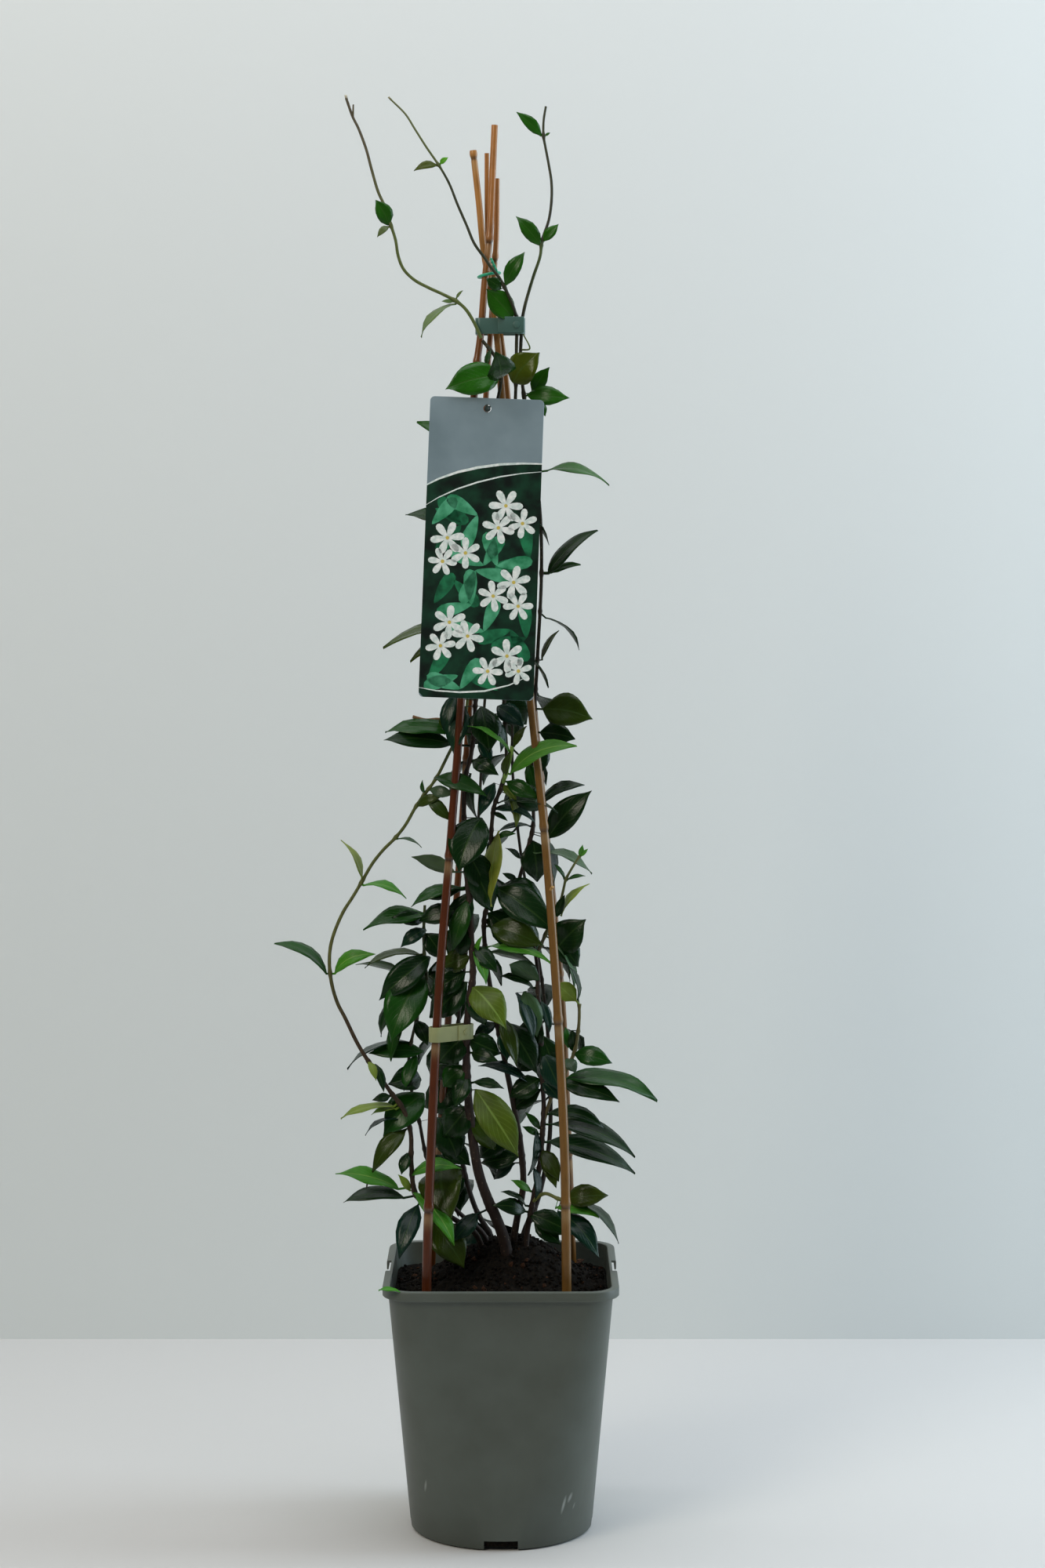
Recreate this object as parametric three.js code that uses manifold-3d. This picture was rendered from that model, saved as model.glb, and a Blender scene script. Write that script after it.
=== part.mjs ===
// Potted star jasmine: a square nursery pot with a round foot, soil, four bamboo canes tied
// into a pyramid, woody stems that climb them, and opposite leaves with drawn-out tips.
// Millimetres, +Z up, origin at the centre of the pot's underside, front towards -Y.

import * as THREE from 'three';
import { mergeVertices } from 'three/addons/utils/BufferGeometryUtils.js';
import Module from 'manifold-3d';

const wasm = await Module();
wasm.setup();

// Driving sizes
const POT_HEIGHT = 205;
const RIM_WIDTH = 180;
const RIM_LIP = 7;
const WALL_TOP_WIDTH = 171;
const FOOT_DIAMETER = 142;
const WALL = 1.6;
const CORNER_RADIUS = 20;
const SOIL_EDGE = 187;
const SOIL_CROWN = 226;
const GAP = 0.3;
const TAG_WIDTH = 86;
const TAG_HEIGHT = 229;
const LEAF_THICKNESS = 0.9;
const LEAF_RATIO = 0.36;

// Places on the plant are read in front view, on the upright plane through the pot's axis,
// from an eye point in front of it. Depth is the distance behind that plane.
const EYE_X = 16.5;
const EYE_DISTANCE = 2528;
const EYE_HEIGHT = 797;
const EYE = new THREE.Vector3(EYE_X, -EYE_DISTANCE, EYE_HEIGHT);

function place(x, z, depth) {
  const scale = (EYE_DISTANCE + depth) / EYE_DISTANCE;
  return new THREE.Vector3(
    EYE_X + (x - EYE_X) * scale,
    depth,
    EYE_HEIGHT + (z - EYE_HEIGHT) * scale,
  );
}

// Canes: [x, z, depth] points from the foot up, and the radius at the foot and at the top
const CANES = {
  cane_front_left: {
    radius: [3.8, 2.5],
    points: [
      [-58.7, 74, -58], [-58.5, 183, -55], [-54.5, 300, -47], [-48, 425, -38],
      [-38.2, 548, -29], [-31, 643, -23], [-19.5, 893, -9], [-15.5, 925, -7],
      [-12.2, 965, -6], [-8.5, 1000, -4.5], [-6.5, 1040, -2], [-4.6, 1083, 0],
    ],
  },
  cane_front_right: {
    radius: [3.8, 2.4],
    points: [
      [52, 74, -58], [51, 183, -55], [49, 300, -46], [42.5, 425, -37],
      [33.1, 548, -28], [22.8, 646, -21], [-0.5, 893, -3], [-2.5, 920, -1.5],
      [-8.5, 962, 0.6], [-13.4, 992, 2.5], [-16.5, 1024, 4], [-21, 1064, 6],
    ],
  },
  cane_back_left: {
    radius: [3.2, 2.0],
    points: [
      [-55.6, 105, 57], [-55.5, 183, 54], [-41, 400, 39], [-24, 645, 22],
      [-10.5, 893, 8], [-8, 925, 6.8], [-5.2, 970, 5.8], [-3.4, 1000, 6], [-2.8, 1043, 7],
    ],
  },
  cane_back_right: {
    radius: [3.2, 1.8],
    points: [
      [55.8, 105, 57], [56, 183, 54], [50.5, 340, 42], [47, 415, 36],
      [25, 646, 22], [4, 893, 11], [0, 925, 11], [-8.6, 975, 11.4], [-10.2, 1005, 10.8],
      [-10.5, 1062, 9],
    ],
  },
};

// Stems and shoots, in the same form. A shoot starts inside the stem it grows from.
const STEMS = {
  stem_main: {
    radius: [4.9, 1.3],
    points: [
      [6, 205, -2], [2, 226, -4], [-5, 245, -8], [-10, 256, -12], [-18, 280, -18],
      [-24, 320, -22], [-26.5, 350, -24], [-27, 385, -26], [-25, 412, -27], [-22, 432, -26],
      [-23, 462, -24], [-24, 488, -22], [-27, 515, -20], [-28.5, 550, -18], [-28, 585, -17],
      [-23, 605, -15], [-20, 640, -12], [-16, 700, -9], [-12, 760, -9], [-8, 820, -11],
      [-4, 868, -14], [0, 892, -16], [-4, 908, -16], [-14, 921, -15],
    ],
  },
  stem_middle: {
    radius: [3.0, 1.3],
    points: [
      [8, 205, 6], [10, 228, 4], [13, 246, 2], [17, 268, 0], [15, 300, -3], [9, 335, -6],
      [2, 370, -8], [-6, 410, -8], [-12, 450, -6], [-13, 478, -5], [-8, 497, -6],
      [-8, 530, -8], [-7, 553, -10], [-5, 566, -12], [1, 582, -14], [4, 600, -10],
      [3, 630, -5], [2, 670, -1], [4, 730, 1], [7, 790, 1], [10, 850, -1], [11.5, 890, -5],
      [12, 920, -7], [12.5, 936, -7.5],
    ],
  },
  stem_right: {
    radius: [2.2, 1.3],
    points: [
      [19, 205, 4], [20, 230, 2], [22, 242, 0], [25, 258, -3], [30, 285, -6], [32, 310, -8],
      [33, 330, -9], [31.5, 360, -10], [30.5, 395, -9], [28.5, 420, -8], [28, 440, -6],
      [24, 462, -3], [18, 485, 0], [14, 506, 0], [18, 522, 0], [20, 531, 1], [24, 545, 4],
      [25, 555, 5], [24, 580, 8], [25, 620, 10], [28, 680, 9], [31, 742, 5], [30, 790, 3],
      [24, 840, 2], [17.5, 880, 2], [15, 905, 2], [15.6, 925, 1], [16.4, 937, -1],
    ],
  },
  stem_twining: {
    radius: [2.4, 1.2],
    points: [
      [-12, 208, 8], [-20, 230, 2], [-34, 240, -4], [-52, 251, -12], [-66, 260, -20],
      [-70, 285, -24], [-70.5, 310, -24], [-76, 328, -24], [-86, 342, -26], [-95, 355, -28],
      [-105, 369, -30], [-112, 381, -30], [-121, 400, -28], [-127, 412, -26],
      [-131.5, 428, -24], [-133, 444, -22], [-132, 456, -20], [-129, 467, -18],
      [-122, 483, -16], [-115, 494, -14], [-109, 504, -12], [-105, 511, -12], [-99, 521, -12],
      [-91, 531, -12], [-82, 540, -12], [-74, 550, -14], [-66, 564, -16], [-60, 573, -18],
      [-53, 582, -18], [-47.5, 591, -16], [-44, 598, -12], [-39, 608, -6], [-31, 622, 3],
      [-26, 645, 6], [-26, 680, 6], [-27, 715, 4],
    ],
  },
  stem_second: {
    radius: [2.2, 1.1],
    points: [
      [-6, 208, 12], [-14, 230, 12], [-32, 246, 8], [-48, 264, 3], [-58, 290, -1],
      [-64, 320, -5], [-70, 345, -7], [-72, 362, -8], [-70, 380, -8], [-64, 405, -8],
      [-58, 428, -8], [-59.5, 450, -8], [-60, 465, -8], [-59, 488, -8],
    ],
  },
  stem_back_left: {
    radius: [2.4, 1.1],
    points: [
      [0, 205, 24], [-8, 228, 28], [-20, 250, 35], [-31, 290, 42], [-36, 340, 42],
      [-33, 400, 36], [-26, 460, 30], [-20, 520, 26], [-16, 580, 22], [-13, 640, 18],
      [-7, 700, 15],
    ],
  },
  stem_back_right: {
    radius: [2.4, 1.1],
    points: [
      [12, 205, 26], [18, 232, 30], [28, 256, 37], [37, 300, 43], [38, 350, 42],
      [34, 410, 36], [25, 470, 32], [15, 530, 28], [9, 590, 25], [9, 650, 21], [10, 720, 16],
    ],
  },
  shoot_low_right: {
    radius: [1.6, 1.2],
    points: [[24.6, 256, -3], [34, 262, -10], [44, 258, -16], [51, 256, -20]],
  },
  shoot_hanging_right: {
    radius: [1.5, 1.2],
    points: [
      [32.5, 318, -8], [40, 340, -12], [50, 358, -16], [57, 374, -18], [59.5, 388, -19],
      [60.5, 400, -19], [60.5, 411, -19],
    ],
  },
  shoot_bud_right: {
    radius: [1.4, 0.9],
    points: [
      [27, 448, -5], [38, 474, -9], [46, 492, -11], [48.5, 502, -11], [50, 508, -11],
      [56, 519, -12], [61, 526.5, -13],
    ],
  },
  shoot_bright: {
    radius: [1.5, 1.1],
    points: [[1, 582, -14], [4, 591, -18], [7, 601, -21], [8.5, 611, -23]],
  },
  dead_petiole: {
    radius: [1.1, 1.3],
    points: [[-33, 619, 1], [-42, 629, -6], [-48, 632, -10], [-58, 631.5, -12], [-68, 634, -13]],
  },
  shoot_top_left: {
    radius: [1.3, 1.0],
    points: [
      [-15, 923, -15], [-20, 934, -15], [-27, 945, -15], [-33.5, 950.5, -15],
      [-44, 956, -16], [-55, 961, -17], [-66, 967, -18], [-74, 975, -20], [-78, 985, -20],
      [-80, 997, -20], [-84.5, 1011, -19], [-88, 1022, -18], [-93, 1033, -16],
      [-98, 1050, -13], [-102, 1065, -10], [-108, 1081, -6], [-112, 1089, -4], [-117, 1103, -2],
    ],
  },
  shoot_top_middle: {
    radius: [1.3, 0.7],
    points: [
      [12.5, 937, -7.5], [9, 948, -12], [2.5, 962, -13.5], [-1.5, 969, -13.5], [-8, 977, -13],
      [-12, 983, -12.5], [-20, 994, -12], [-26, 1008, -10], [-33, 1024, -8], [-39, 1039, -6],
      [-46, 1051.5, -5], [-56, 1066, -3], [-65, 1080, 0], [-72, 1091, 3], [-83, 1102, 7],
    ],
  },
  shoot_top_right: {
    radius: [1.3, 0.9],
    points: [
      [16.4, 938, -1], [18.5, 948, -2], [21, 957, -2], [25, 970, -3], [30, 985, -4],
      [31.3, 996, -4], [36.5, 1012, -3], [38.5, 1026, -2], [38.5, 1040, 0], [36.5, 1053, 2],
      [33.8, 1067, 4], [32.4, 1075, 5], [32.6, 1087, 7], [34.2, 1097, 8],
    ],
  },
};

// Leaves read one by one: stem, blade base x and z, tip x and z, how much deeper the tip is
// than the stem, the width seen from the front (negative where the underside shows), the
// arch as a share of the length, and the tone. These large ones are each a node.
const LARGE_LEAVES = [
  ['stem_twining', -80, 266, -129, 278, -10, 12, 0.1, 'young'],
  ['stem_twining', -76, 259, -123, 256, -5, 11, 0.1, 'dark'],
  ['stem_second', -46, 287, -40, 243, -45, 34, 0.12, 'olive'],
  ['stem_twining', -55, 240, -29, 203, -22, 27, 0.1, 'olive'],
  ['stem_second', -60, 374, -103, 373, -5, 13, 0.06, 'mid'],
  ['stem_second', -62, 352, -88, 348, -16, 20, 0.17, 'dark'],
  ['stem_second', -60, 341, -92, 308, -20, 26, 0.13, 'mid'],
  ['stem_twining', -74, 313, -101, 279, -8, 14, 0.1, 'olive'],
  ['stem_main', -20, 344, 14, 292, -18, 27, 0.1, 'yellow'],
  ['shoot_low_right', 44, 248, 77, 211, -24, 16, 0.12, 'blue'],
  ['shoot_hanging_right', 45, 350, 92, 336, -14, 15, 0.08, 'dark'],
  ['shoot_hanging_right', 51, 353, 122, 338, -4, 14, 0.08, 'mid'],
  ['stem_right', 37, 317, 105, 294, -16, 14, 0.08, 'dark'],
  ['stem_right', 35, 303, 105, 280, -8, 17, 0.08, 'dark'],
  ['stem_second', -55, 448, -95, 414, -12, 22, 0.15, 'dark'],
  ['stem_second', -60, 434, -86, 381, -26, 30, 0.1, 'mid'],
  ['stem_second', -56, 480, -107, 471, -10, 13, 0.14, 'mid'],
  ['stem_main', -22, 424, 4, 392, -28, 25, 0.16, 'yellow'],
  ['stem_middle', -10, 456, 39, 444, -24, 9, 0.12, 'young'],
  ['stem_middle', -8, 472, 33, 457, -18, 22, 0.1, 'olive'],
  ['stem_middle', -4, 502, 41, 468, -20, 27, 0.08, 'dark'],
  ['shoot_bud_right', 41, 452, 65, 477, -14, 26, 0.08, 'dark'],
  ['stem_twining', -51, 587, -11, 574, -16, 13, 0.09, 'mid'],
  ['stem_main', -15, 556, -33, 514, -22, 30, 0.09, 'dark'],
  ['stem_middle', -2, 546, -8, 487, -12, 13, 0.06, 'pale'],
  ['shoot_bright', 7, 590, 58, 612, -14, 13, 0.16, 'young'],
  ['stem_right', 36, 540, 69, 577, -10, 21, 0.08, 'dark'],
  ['stem_right', 32, 640, 70, 633, -14, 26, 0.12, 'olive'],
  ['stem_main', -38, 613, -90, 617, -16, 15, 0.05, 'dark'],
  ['stem_right', 36, 744, 73, 778, -8, 11, 0.1, 'dark'],
  ['stem_right', 36, 823, 83, 812, -8, 7, 0.14, 'mid'],
  ['stem_main', 0, 895, -42, 885, -14, 25, 0.08, 'mid'],
  ['stem_middle', 9, 889, 29, 912, -14, 24, 0.11, 'olive'],
  ['shoot_top_middle', 9, 938, -11, 960, -8, 19, 0.06, 'mid'],
];

// The other leaves stay joined to the stem that bears them
const JOINED_LEAVES = [
  ['stem_twining', -71, 264, -80, 277, -5, 6, 0.08, 'pale'],
  ['stem_twining', -70, 277, -31, 282, -14, 11, 0.14, 'young'],
  ['stem_twining', -68, 263, -36, 222, -30, 15, 0.1, 'young'],
  ['stem_twining', -65, 253, -80, 211, -30, 17, 0.1, 'blue'],
  ['stem_main', -19, 246, -38, 224, -18, 14, 0.1, 'blue'],
  ['stem_second', -76, 402, -86, 366, -14, 10, 0.1, 'mid'],
  ['stem_second', -80, 419, -95, 386, -6, 8, 0.1, 'dark'],
  ['stem_twining', -86, 339, -100, 336, -6, 7, 0.1, 'dark'],
  ['stem_twining', -84, 331, -125, 322, -8, 6, 0.1, 'pale'],
  ['stem_twining', -82, 329, -101, 325, -4, 4, 0.1, 'pale'],
  ['stem_twining', -80, 321, -106, 308, -6, 3, 0.16, 'blue'],
  ['stem_twining', -73, 294, -78, 277, -8, 9, 0.1, 'dark'],
  ['stem_second', -66, 371, -76, 343, -18, 11, 0.1, 'mid'],
  ['stem_main', -21, 350, 2, 345, -12, 8, 0.1, 'dark'],
  ['stem_right', 22, 349, -17, 364, -10, 8, 0.1, 'blue'],
  ['stem_middle', 0, 401, 12, 362, -16, 13, 0.1, 'olive'],
  ['stem_main', -23, 373, -3, 367, -14, 12, 0.1, 'dark'],
  ['stem_middle', 5, 396, 28, 357, -10, 22, 0.1, 'dark'],
  ['stem_second', -74, 382, -120, 361, -5, 4, 0.12, 'blue'],
  ['stem_twining', -103, 366, -97, 351, -10, 6, 0.1, 'pale'],
  ['stem_twining', -98, 364, -91, 342, -8, 7, 0.1, 'dark'],
  ['shoot_low_right', 50, 258, 83, 261, -8, 18, 0.14, 'olive'],
  ['shoot_low_right', 54, 257, 92, 223, -10, 6, 0.16, 'dark'],
  ['shoot_low_right', 42, 251, 76, 244, -18, 9, 0.1, 'young'],
  ['stem_right', 19, 253, 0, 264, -8, 4, 0.12, 'dark'],
  ['stem_right', 19, 248, -6, 253, -16, 13, 0.1, 'dark'],
  ['stem_right', 23, 264, 8, 273, -8, 6, 0.1, 'young'],
  ['stem_right', 33, 290, 43, 267, -16, 11, 0.1, 'olive'],
  ['stem_right', 27, 313, 21, 276, -12, 6, 0.1, 'blue'],
  ['stem_right', 25, 283, 28, 258, -12, 6, 0.1, 'blue'],
  ['shoot_hanging_right', 57, 372, 86, 365, -10, 16, 0.14, 'mid'],
  ['shoot_hanging_right', 52, 377, 50, 393, 4, 7, 0.1, 'mid'],
  ['shoot_hanging_right', 50, 368, 58, 357, -10, 10, 0.1, 'grey'],
  ['shoot_hanging_right', 55, 390, 57, 372, 6, 9, 0.1, 'dark'],
  ['stem_right', 36, 325, 81, 313, -10, 12, 0.16, 'dark'],
  ['stem_right', 30, 313, 19, 326, -4, 6, 0.1, 'mid'],
  ['stem_right', 29, 309, 17, 315, -8, 6, 0.1, 'mid'],
  ['stem_right', 32, 296, 45, 272, -14, 14, 0.1, 'olive'],
  ['stem_second', -66, 398, -57, 379, -12, 12, 0.1, 'dark'],
  ['stem_second', -63, 450, -106, 441, -6, 6, 0.12, 'olive'],
  ['stem_second', -70, 430, -112, 444, -2, -6, 0.1, 'grey'],
  ['stem_second', -58, 469, -78, 455, -6, 11, 0.28, 'blue'],
  ['stem_second', -60, 476, -84, 479, -14, 12, 0.1, 'dark'],
  ['stem_main', -32, 502, -70, 487, -2, 9, 0.14, 'mid'],
  ['stem_main', -21, 452, -11, 427, -18, 9, 0.1, 'young'],
  ['stem_main', -20, 450, -15, 464, -5, 4, 0.1, 'young'],
  ['stem_main', -20, 456, -3, 436, -12, 14, 0.1, 'dark'],
  ['stem_middle', -8, 452, 27, 441, -8, -7, 0.1, 'grey'],
  ['stem_right', 29, 430, 6, 442, -14, -17, 0.12, 'grey'],
  ['stem_right', 25, 424, -2, 433, -10, 6, 0.1, 'dark'],
  ['stem_right', 18, 421, 28, 385, -10, 18, 0.1, 'grey'],
  ['stem_right', 12, 420, 26, 383, -16, 10, 0.1, 'blue'],
  ['stem_right', 31, 413, 38, 389, -6, 8, 0.1, 'blue'],
  ['shoot_bud_right', 43, 479, 49, 496, -6, 7, 0.08, 'dark'],
  ['shoot_bud_right', 46, 480, 68, 505, -4, 5, 0.14, 'pale'],
  ['shoot_bud_right', 40, 462, 59, 425, -8, 6, 0.1, 'grey'],
  ['shoot_hanging_right', 58, 414, 42, 427, -6, -15, 0.1, 'pale'],
  ['shoot_hanging_right', 60, 415, 53, 441, -5, 4, 0.1, 'dark'],
  ['shoot_bud_right', 51, 508, 65, 511, -4, 3, 0.1, 'mid'],
  ['shoot_bud_right', 49, 509, 41, 520, 2, 3, 0.1, 'mid'],
  ['shoot_bud_right', 60.5, 526, 63, 535, -2, 4, 0.1, 'young'],
  ['shoot_bud_right', 61, 526, 67, 532, -2, 3, 0.1, 'young'],
  ['stem_right', 12, 508, 1, 513, -6, 5, 0.1, 'dark'],
  ['stem_twining', -135, 435, -175, 459, -10, 9, 0.14, 'mid'],
  ['stem_twining', -129, 435, -97, 450, -8, 11, 0.25, 'young'],
  ['stem_twining', -106, 504, -73, 494, -6, 6, 0.16, 'young'],
  ['stem_twining', -107, 508, -123, 539, -4, 5, 0.1, 'pale'],
  ['stem_twining', -80, 540, -61, 534, -3, 2, 0.1, 'mid'],
  ['stem_twining', -65, 565, -45, 573, -8, 8, 0.14, 'olive'],
  ['stem_twining', -59, 574, -61, 585, -2, 3, 0.1, 'mid'],
  ['stem_twining', -55, 578, -36, 574, -8, 9, 0.1, 'grey'],
  ['stem_twining', -57, 573, -38, 553, -10, 10, 0.1, 'olive'],
  ['stem_main', -36, 514, -69, 526, 8, -12, 0.1, 'grey'],
  ['stem_middle', -5, 583, -17, 558, -10, 11, 0.1, 'blue'],
  ['stem_main', -22, 600, -2, 589, -14, 13, 0.2, 'dark'],
  ['shoot_bright', 7, 607, -25, 628, -5, 4, 0.1, 'young'],
  ['shoot_bright', 9.5, 611, 19, 627, -4, 6, 0.1, 'olive'],
  ['shoot_bright', 3, 588, 7, 607, -8, 6, 0.1, 'olive'],
  ['stem_middle', 4.5, 584, 29, 571, -12, 13, 0.1, 'mid'],
  ['stem_middle', 2, 581, 12, 569, -10, 8, 0.1, 'yellow'],
  ['stem_middle', 7, 574, 12, 549, -8, 7, 0.1, 'yellow'],
  ['stem_middle', -2, 568, 44, 561, -14, 6, 0.12, 'dark'],
  ['stem_middle', -5, 563, 26, 555, -10, 7, 0.14, 'blue'],
  ['stem_middle', -6, 560, 5, 554, -6, 4, 0.1, 'dark'],
  ['stem_right', 22, 550, -3, 546, -8, 4, 0.1, 'blue'],
  ['stem_middle', -4, 540, 11, 544, -6, 5, 0.1, 'mid'],
  ['stem_right', 16, 524, 4, 533, -6, 4, 0.1, 'dark'],
  ['stem_right', 30, 567, 64, 582, -6, 9, 0.18, 'dark'],
  ['stem_right', 31, 544, 41, 503, -8, 6, 0.08, 'dark'],
  ['stem_right', 25, 538, 28, 506, 2, 24, 0.1, 'dark'],
  ['stem_right', 27, 529, 71, 515, -2, 6, 0.12, 'grey'],
  ['stem_right', 30, 622, 57, 617, -8, 18, 0.1, 'dark'],
  ['stem_right', 29, 615, 31, 590, -6, 14, 0.1, 'dark'],
  ['stem_right', 21, 598, 27, 573, -4, 12, 0.1, 'mid'],
  ['stem_middle', -3, 642, 17, 627, -14, 16, 0.1, 'blue'],
  ['stem_middle', -1, 630, 1, 607, -10, 6, 0.1, 'blue'],
  ['stem_main', -34, 622, -89, 624, -8, 12, 0.1, 'mid'],
  ['stem_main', -34, 652, -44, 620, -10, 12, 0.1, 'blue'],
  ['stem_main', -32, 648, -49, 623, -6, 9, 0.1, 'olive'],
  ['stem_main', -28, 642, -37, 606, -16, 18, 0.1, 'blue'],
  ['stem_main', -17, 616, -8, 597, -8, 10, 0.1, 'blue'],
  ['stem_main', -15, 642, -9, 606, -12, 24, 0.1, 'dark'],
  ['stem_right', 38, 745, 61, 751, -4, 6, 0.1, 'mid'],
  ['stem_right', 31, 678, 43, 701, -4, 4, 0.05, 'olive'],
  ['stem_main', -14, 838, -64, 860, 2, 14, 0.08, 'mid'],
  ['stem_main', -18, 778, -73, 789, 0, 13, 0.06, 'dark'],
  ['stem_main', -24, 702, -91, 689, -4, 9, 0.1, 'olive'],
  ['stem_main', -24, 690, -70, 677, -6, 9, 0.2, 'olive'],
  ['stem_main', -1, 892, -3, 911, -34, 22, 0.1, 'dark'],
  ['stem_right', 20, 880, 52, 878, -12, 15, 0.1, 'mid'],
  ['stem_right', 24, 881, 37, 901, -8, 12, 0.08, 'mid'],
  ['stem_right', 30, 874, 34, 864, -8, 7, 0.08, 'mid'],
  ['stem_main', -8, 915, -11, 899, -4, 4, 0.08, 'dark'],
  ['shoot_top_middle', 3.5, 963, 18, 988, -6, 12, 0.1, 'mid'],
  ['shoot_top_left', -35, 949, -62, 925, -4, 5, 0.12, 'grey'],
  ['shoot_top_left', -34, 953, -29, 959, -1, 2, 0.05, 'grey'],
  ['shoot_top_left', -36, 950.5, -45, 951, -2, 3, 0.1, 'grey'],
  ['shoot_top_left', -85, 1008, -95, 1027, -5, 13, 0.06, 'mid'],
  ['shoot_top_left', -85, 1007, -94, 999, -4, 5, 0.25, 'grey'],
  ['shoot_top_middle', -48, 1053, -66, 1049, -3, 6, 0.2, 'olive'],
  ['shoot_top_middle', -46, 1054, -40, 1059, -2, 4, 0.2, 'young'],
  ['shoot_top_middle', 0, 960, -11, 968, -5, 10, 0.1, 'dark'],
  ['shoot_top_right', 30, 993, 12, 1015, -6, 12, 0.08, 'mid'],
  ['shoot_top_right', 32, 996, 44, 1009, -4, 8, 0.08, 'mid'],
  ['shoot_top_right', 31, 1075, 12, 1093, -5, 9, 0.06, 'mid'],
  ['shoot_top_right', 33.5, 1075, 37.5, 1077.5, -1, 2, 0.05, 'mid'],
  ['stem_second', -50, 322, -33, 286, -10, 25, 0.1, 'dark'],
  ['stem_second', -46, 300, -24, 284, -14, 18, 0.1, 'dark'],
  ['stem_second', -58, 292, -36, 268, -6, 20, 0.1, 'dark'],
  ['stem_middle', 14, 292, -16, 286, 12, 16, 0.1, 'dark'],
  ['stem_middle', 10, 286, -6, 273, 10, 8, 0.1, 'blue'],
  ['stem_back_left', -10, 232, -40, 224, 8, 25, 0.1, 'blue'],
  ['stem_right', 22, 246, 56, 230, -6, 18, 0.1, 'dark'],
  ['stem_right', 26, 240, 46, 222, -8, 15, 0.1, 'dark'],
  ['stem_main', -24, 322, -4, 296, 8, 20, 0.1, 'olive'],
  ['stem_main', -26, 330, -46, 306, 6, 25, 0.1, 'dark'],
  ['stem_middle', 6, 306, -18, 290, 8, 18, 0.1, 'dark'],
  ['stem_back_left', -28, 282, -52, 262, 10, 28, 0.1, 'dark'],
  ['stem_back_left', -34, 300, -54, 322, 10, 25, 0.1, 'dark'],
  ['stem_main', -27, 428, -56, 400, 6, 25, 0.1, 'dark'],
  ['stem_main', -28, 436, -56, 418, 4, 20, 0.1, 'dark'],
  ['stem_main', -28, 386, -50, 364, 4, 25, 0.1, 'dark'],
  ['stem_main', -28, 362, -46, 346, 4, 18, 0.1, 'mid'],
  ['stem_main', -26, 354, -36, 330, -10, 15, 0.1, 'dark'],
  ['stem_main', -26, 384, 0, 372, 6, 19, 0.1, 'dark'],
  ['stem_main', -26, 420, -12, 394, 4, 18, 0.1, 'dark'],
  ['stem_middle', -4, 396, -22, 384, -6, 10, 0.1, 'blue'],
  ['stem_right', 30, 352, 6, 338, -6, 18, 0.1, 'dark'],
  ['stem_right', 30, 344, 8, 328, 4, 15, 0.1, 'dark'],
  ['stem_right', 32, 386, 45, 350, 6, 20, 0.1, 'dark'],
  ['stem_right', 33, 372, 46, 342, -8, 18, 0.1, 'blue'],
  ['stem_right', 32, 350, 45, 336, -8, 11, 0.1, 'blue'],
  ['shoot_bud_right', 44, 462, 60, 440, -4, 19, 0.1, 'dark'],
  ['stem_main', -25, 448, -46, 440, 6, 18, 0.1, 'olive'],
  ['stem_right', 30, 400, 16, 372, 8, 22, 0.1, 'dark'],
  ['stem_right', 30, 380, 12, 358, 8, 20, 0.1, 'dark'],
  ['stem_middle', 0, 388, 5, 367, -16, 11, 0.1, 'blue'],
  ['stem_back_left', -34, 380, -56, 352, 8, 28, 0.1, 'dark'],
  ['stem_back_left', -34, 346, -60, 330, 8, 28, 0.1, 'dark'],
  ['stem_back_left', -34, 410, -60, 436, 8, 28, 0.1, 'dark'],
  ['stem_middle', -10, 482, 32, 450, 6, 32, 0.1, 'dark'],
  ['stem_middle', -4, 500, 36, 486, 6, 28, 0.1, 'dark'],
  ['stem_middle', -12, 476, 24, 468, 8, 25, 0.1, 'olive'],
  ['stem_main', -24, 498, -38, 462, 4, 20, 0.1, 'dark'],
  ['stem_main', -26, 492, -38, 452, -6, 15, 0.1, 'mid'],
  ['stem_main', -24, 470, -42, 448, 6, 22, 0.1, 'dark'],
  ['stem_main', -24, 520, -6, 482, 6, 22, 0.1, 'dark'],
  ['stem_main', -26, 530, -10, 498, 4, 22, 0.1, 'dark'],
  ['stem_main', -34, 484, -64, 476, 4, 16, 0.1, 'dark'],
  ['stem_second', -58, 466, -44, 446, -4, 18, 0.1, 'dark'],
  ['stem_main', -32, 500, -60, 494, 6, 10, 0.1, 'dark'],
  ['stem_main', -24, 590, -20, 556, 4, 8, 0.1, 'dark'],
  ['stem_middle', -6, 636, -26, 612, 8, 22, 0.1, 'dark'],
  ['stem_middle', 2, 648, 20, 628, 4, 25, 0.1, 'dark'],
  ['stem_middle', 6, 576, 35, 563, 9, 20, 0.1, 'dark'],
];

// Opposite pairs on the far side, in regular steps up each stem: from, to, step, the
// direction of the first leaf in degrees from straight back, length and width
const BACK_PAIRS = [
  ['stem_back_left', 246, 640, 30, -62, 52, 25],
  ['stem_back_right', 250, 660, 30, 48, 50, 24],
  ['stem_middle', 690, 880, 52, -30, 42, 16],
  ['stem_right', 655, 860, 60, 25, 40, 15],
];
const BACK_TURN = 52;
const BACK_PAIR_ANGLE = 105;
const BACK_LIMIT = 95;
const BACK_PETIOLE = 7;
const BACK_DROOP = -42;
const BACK_ARCH = 0.12;

const TONES = {
  dark: '#1f3823',
  mid: '#35602f',
  olive: '#3d4a22',
  yellow: '#6a7a2c',
  young: '#5a9433',
  pale: '#a3b26a',
  blue: '#33534a',
  grey: '#7a8f7c',
};

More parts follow.
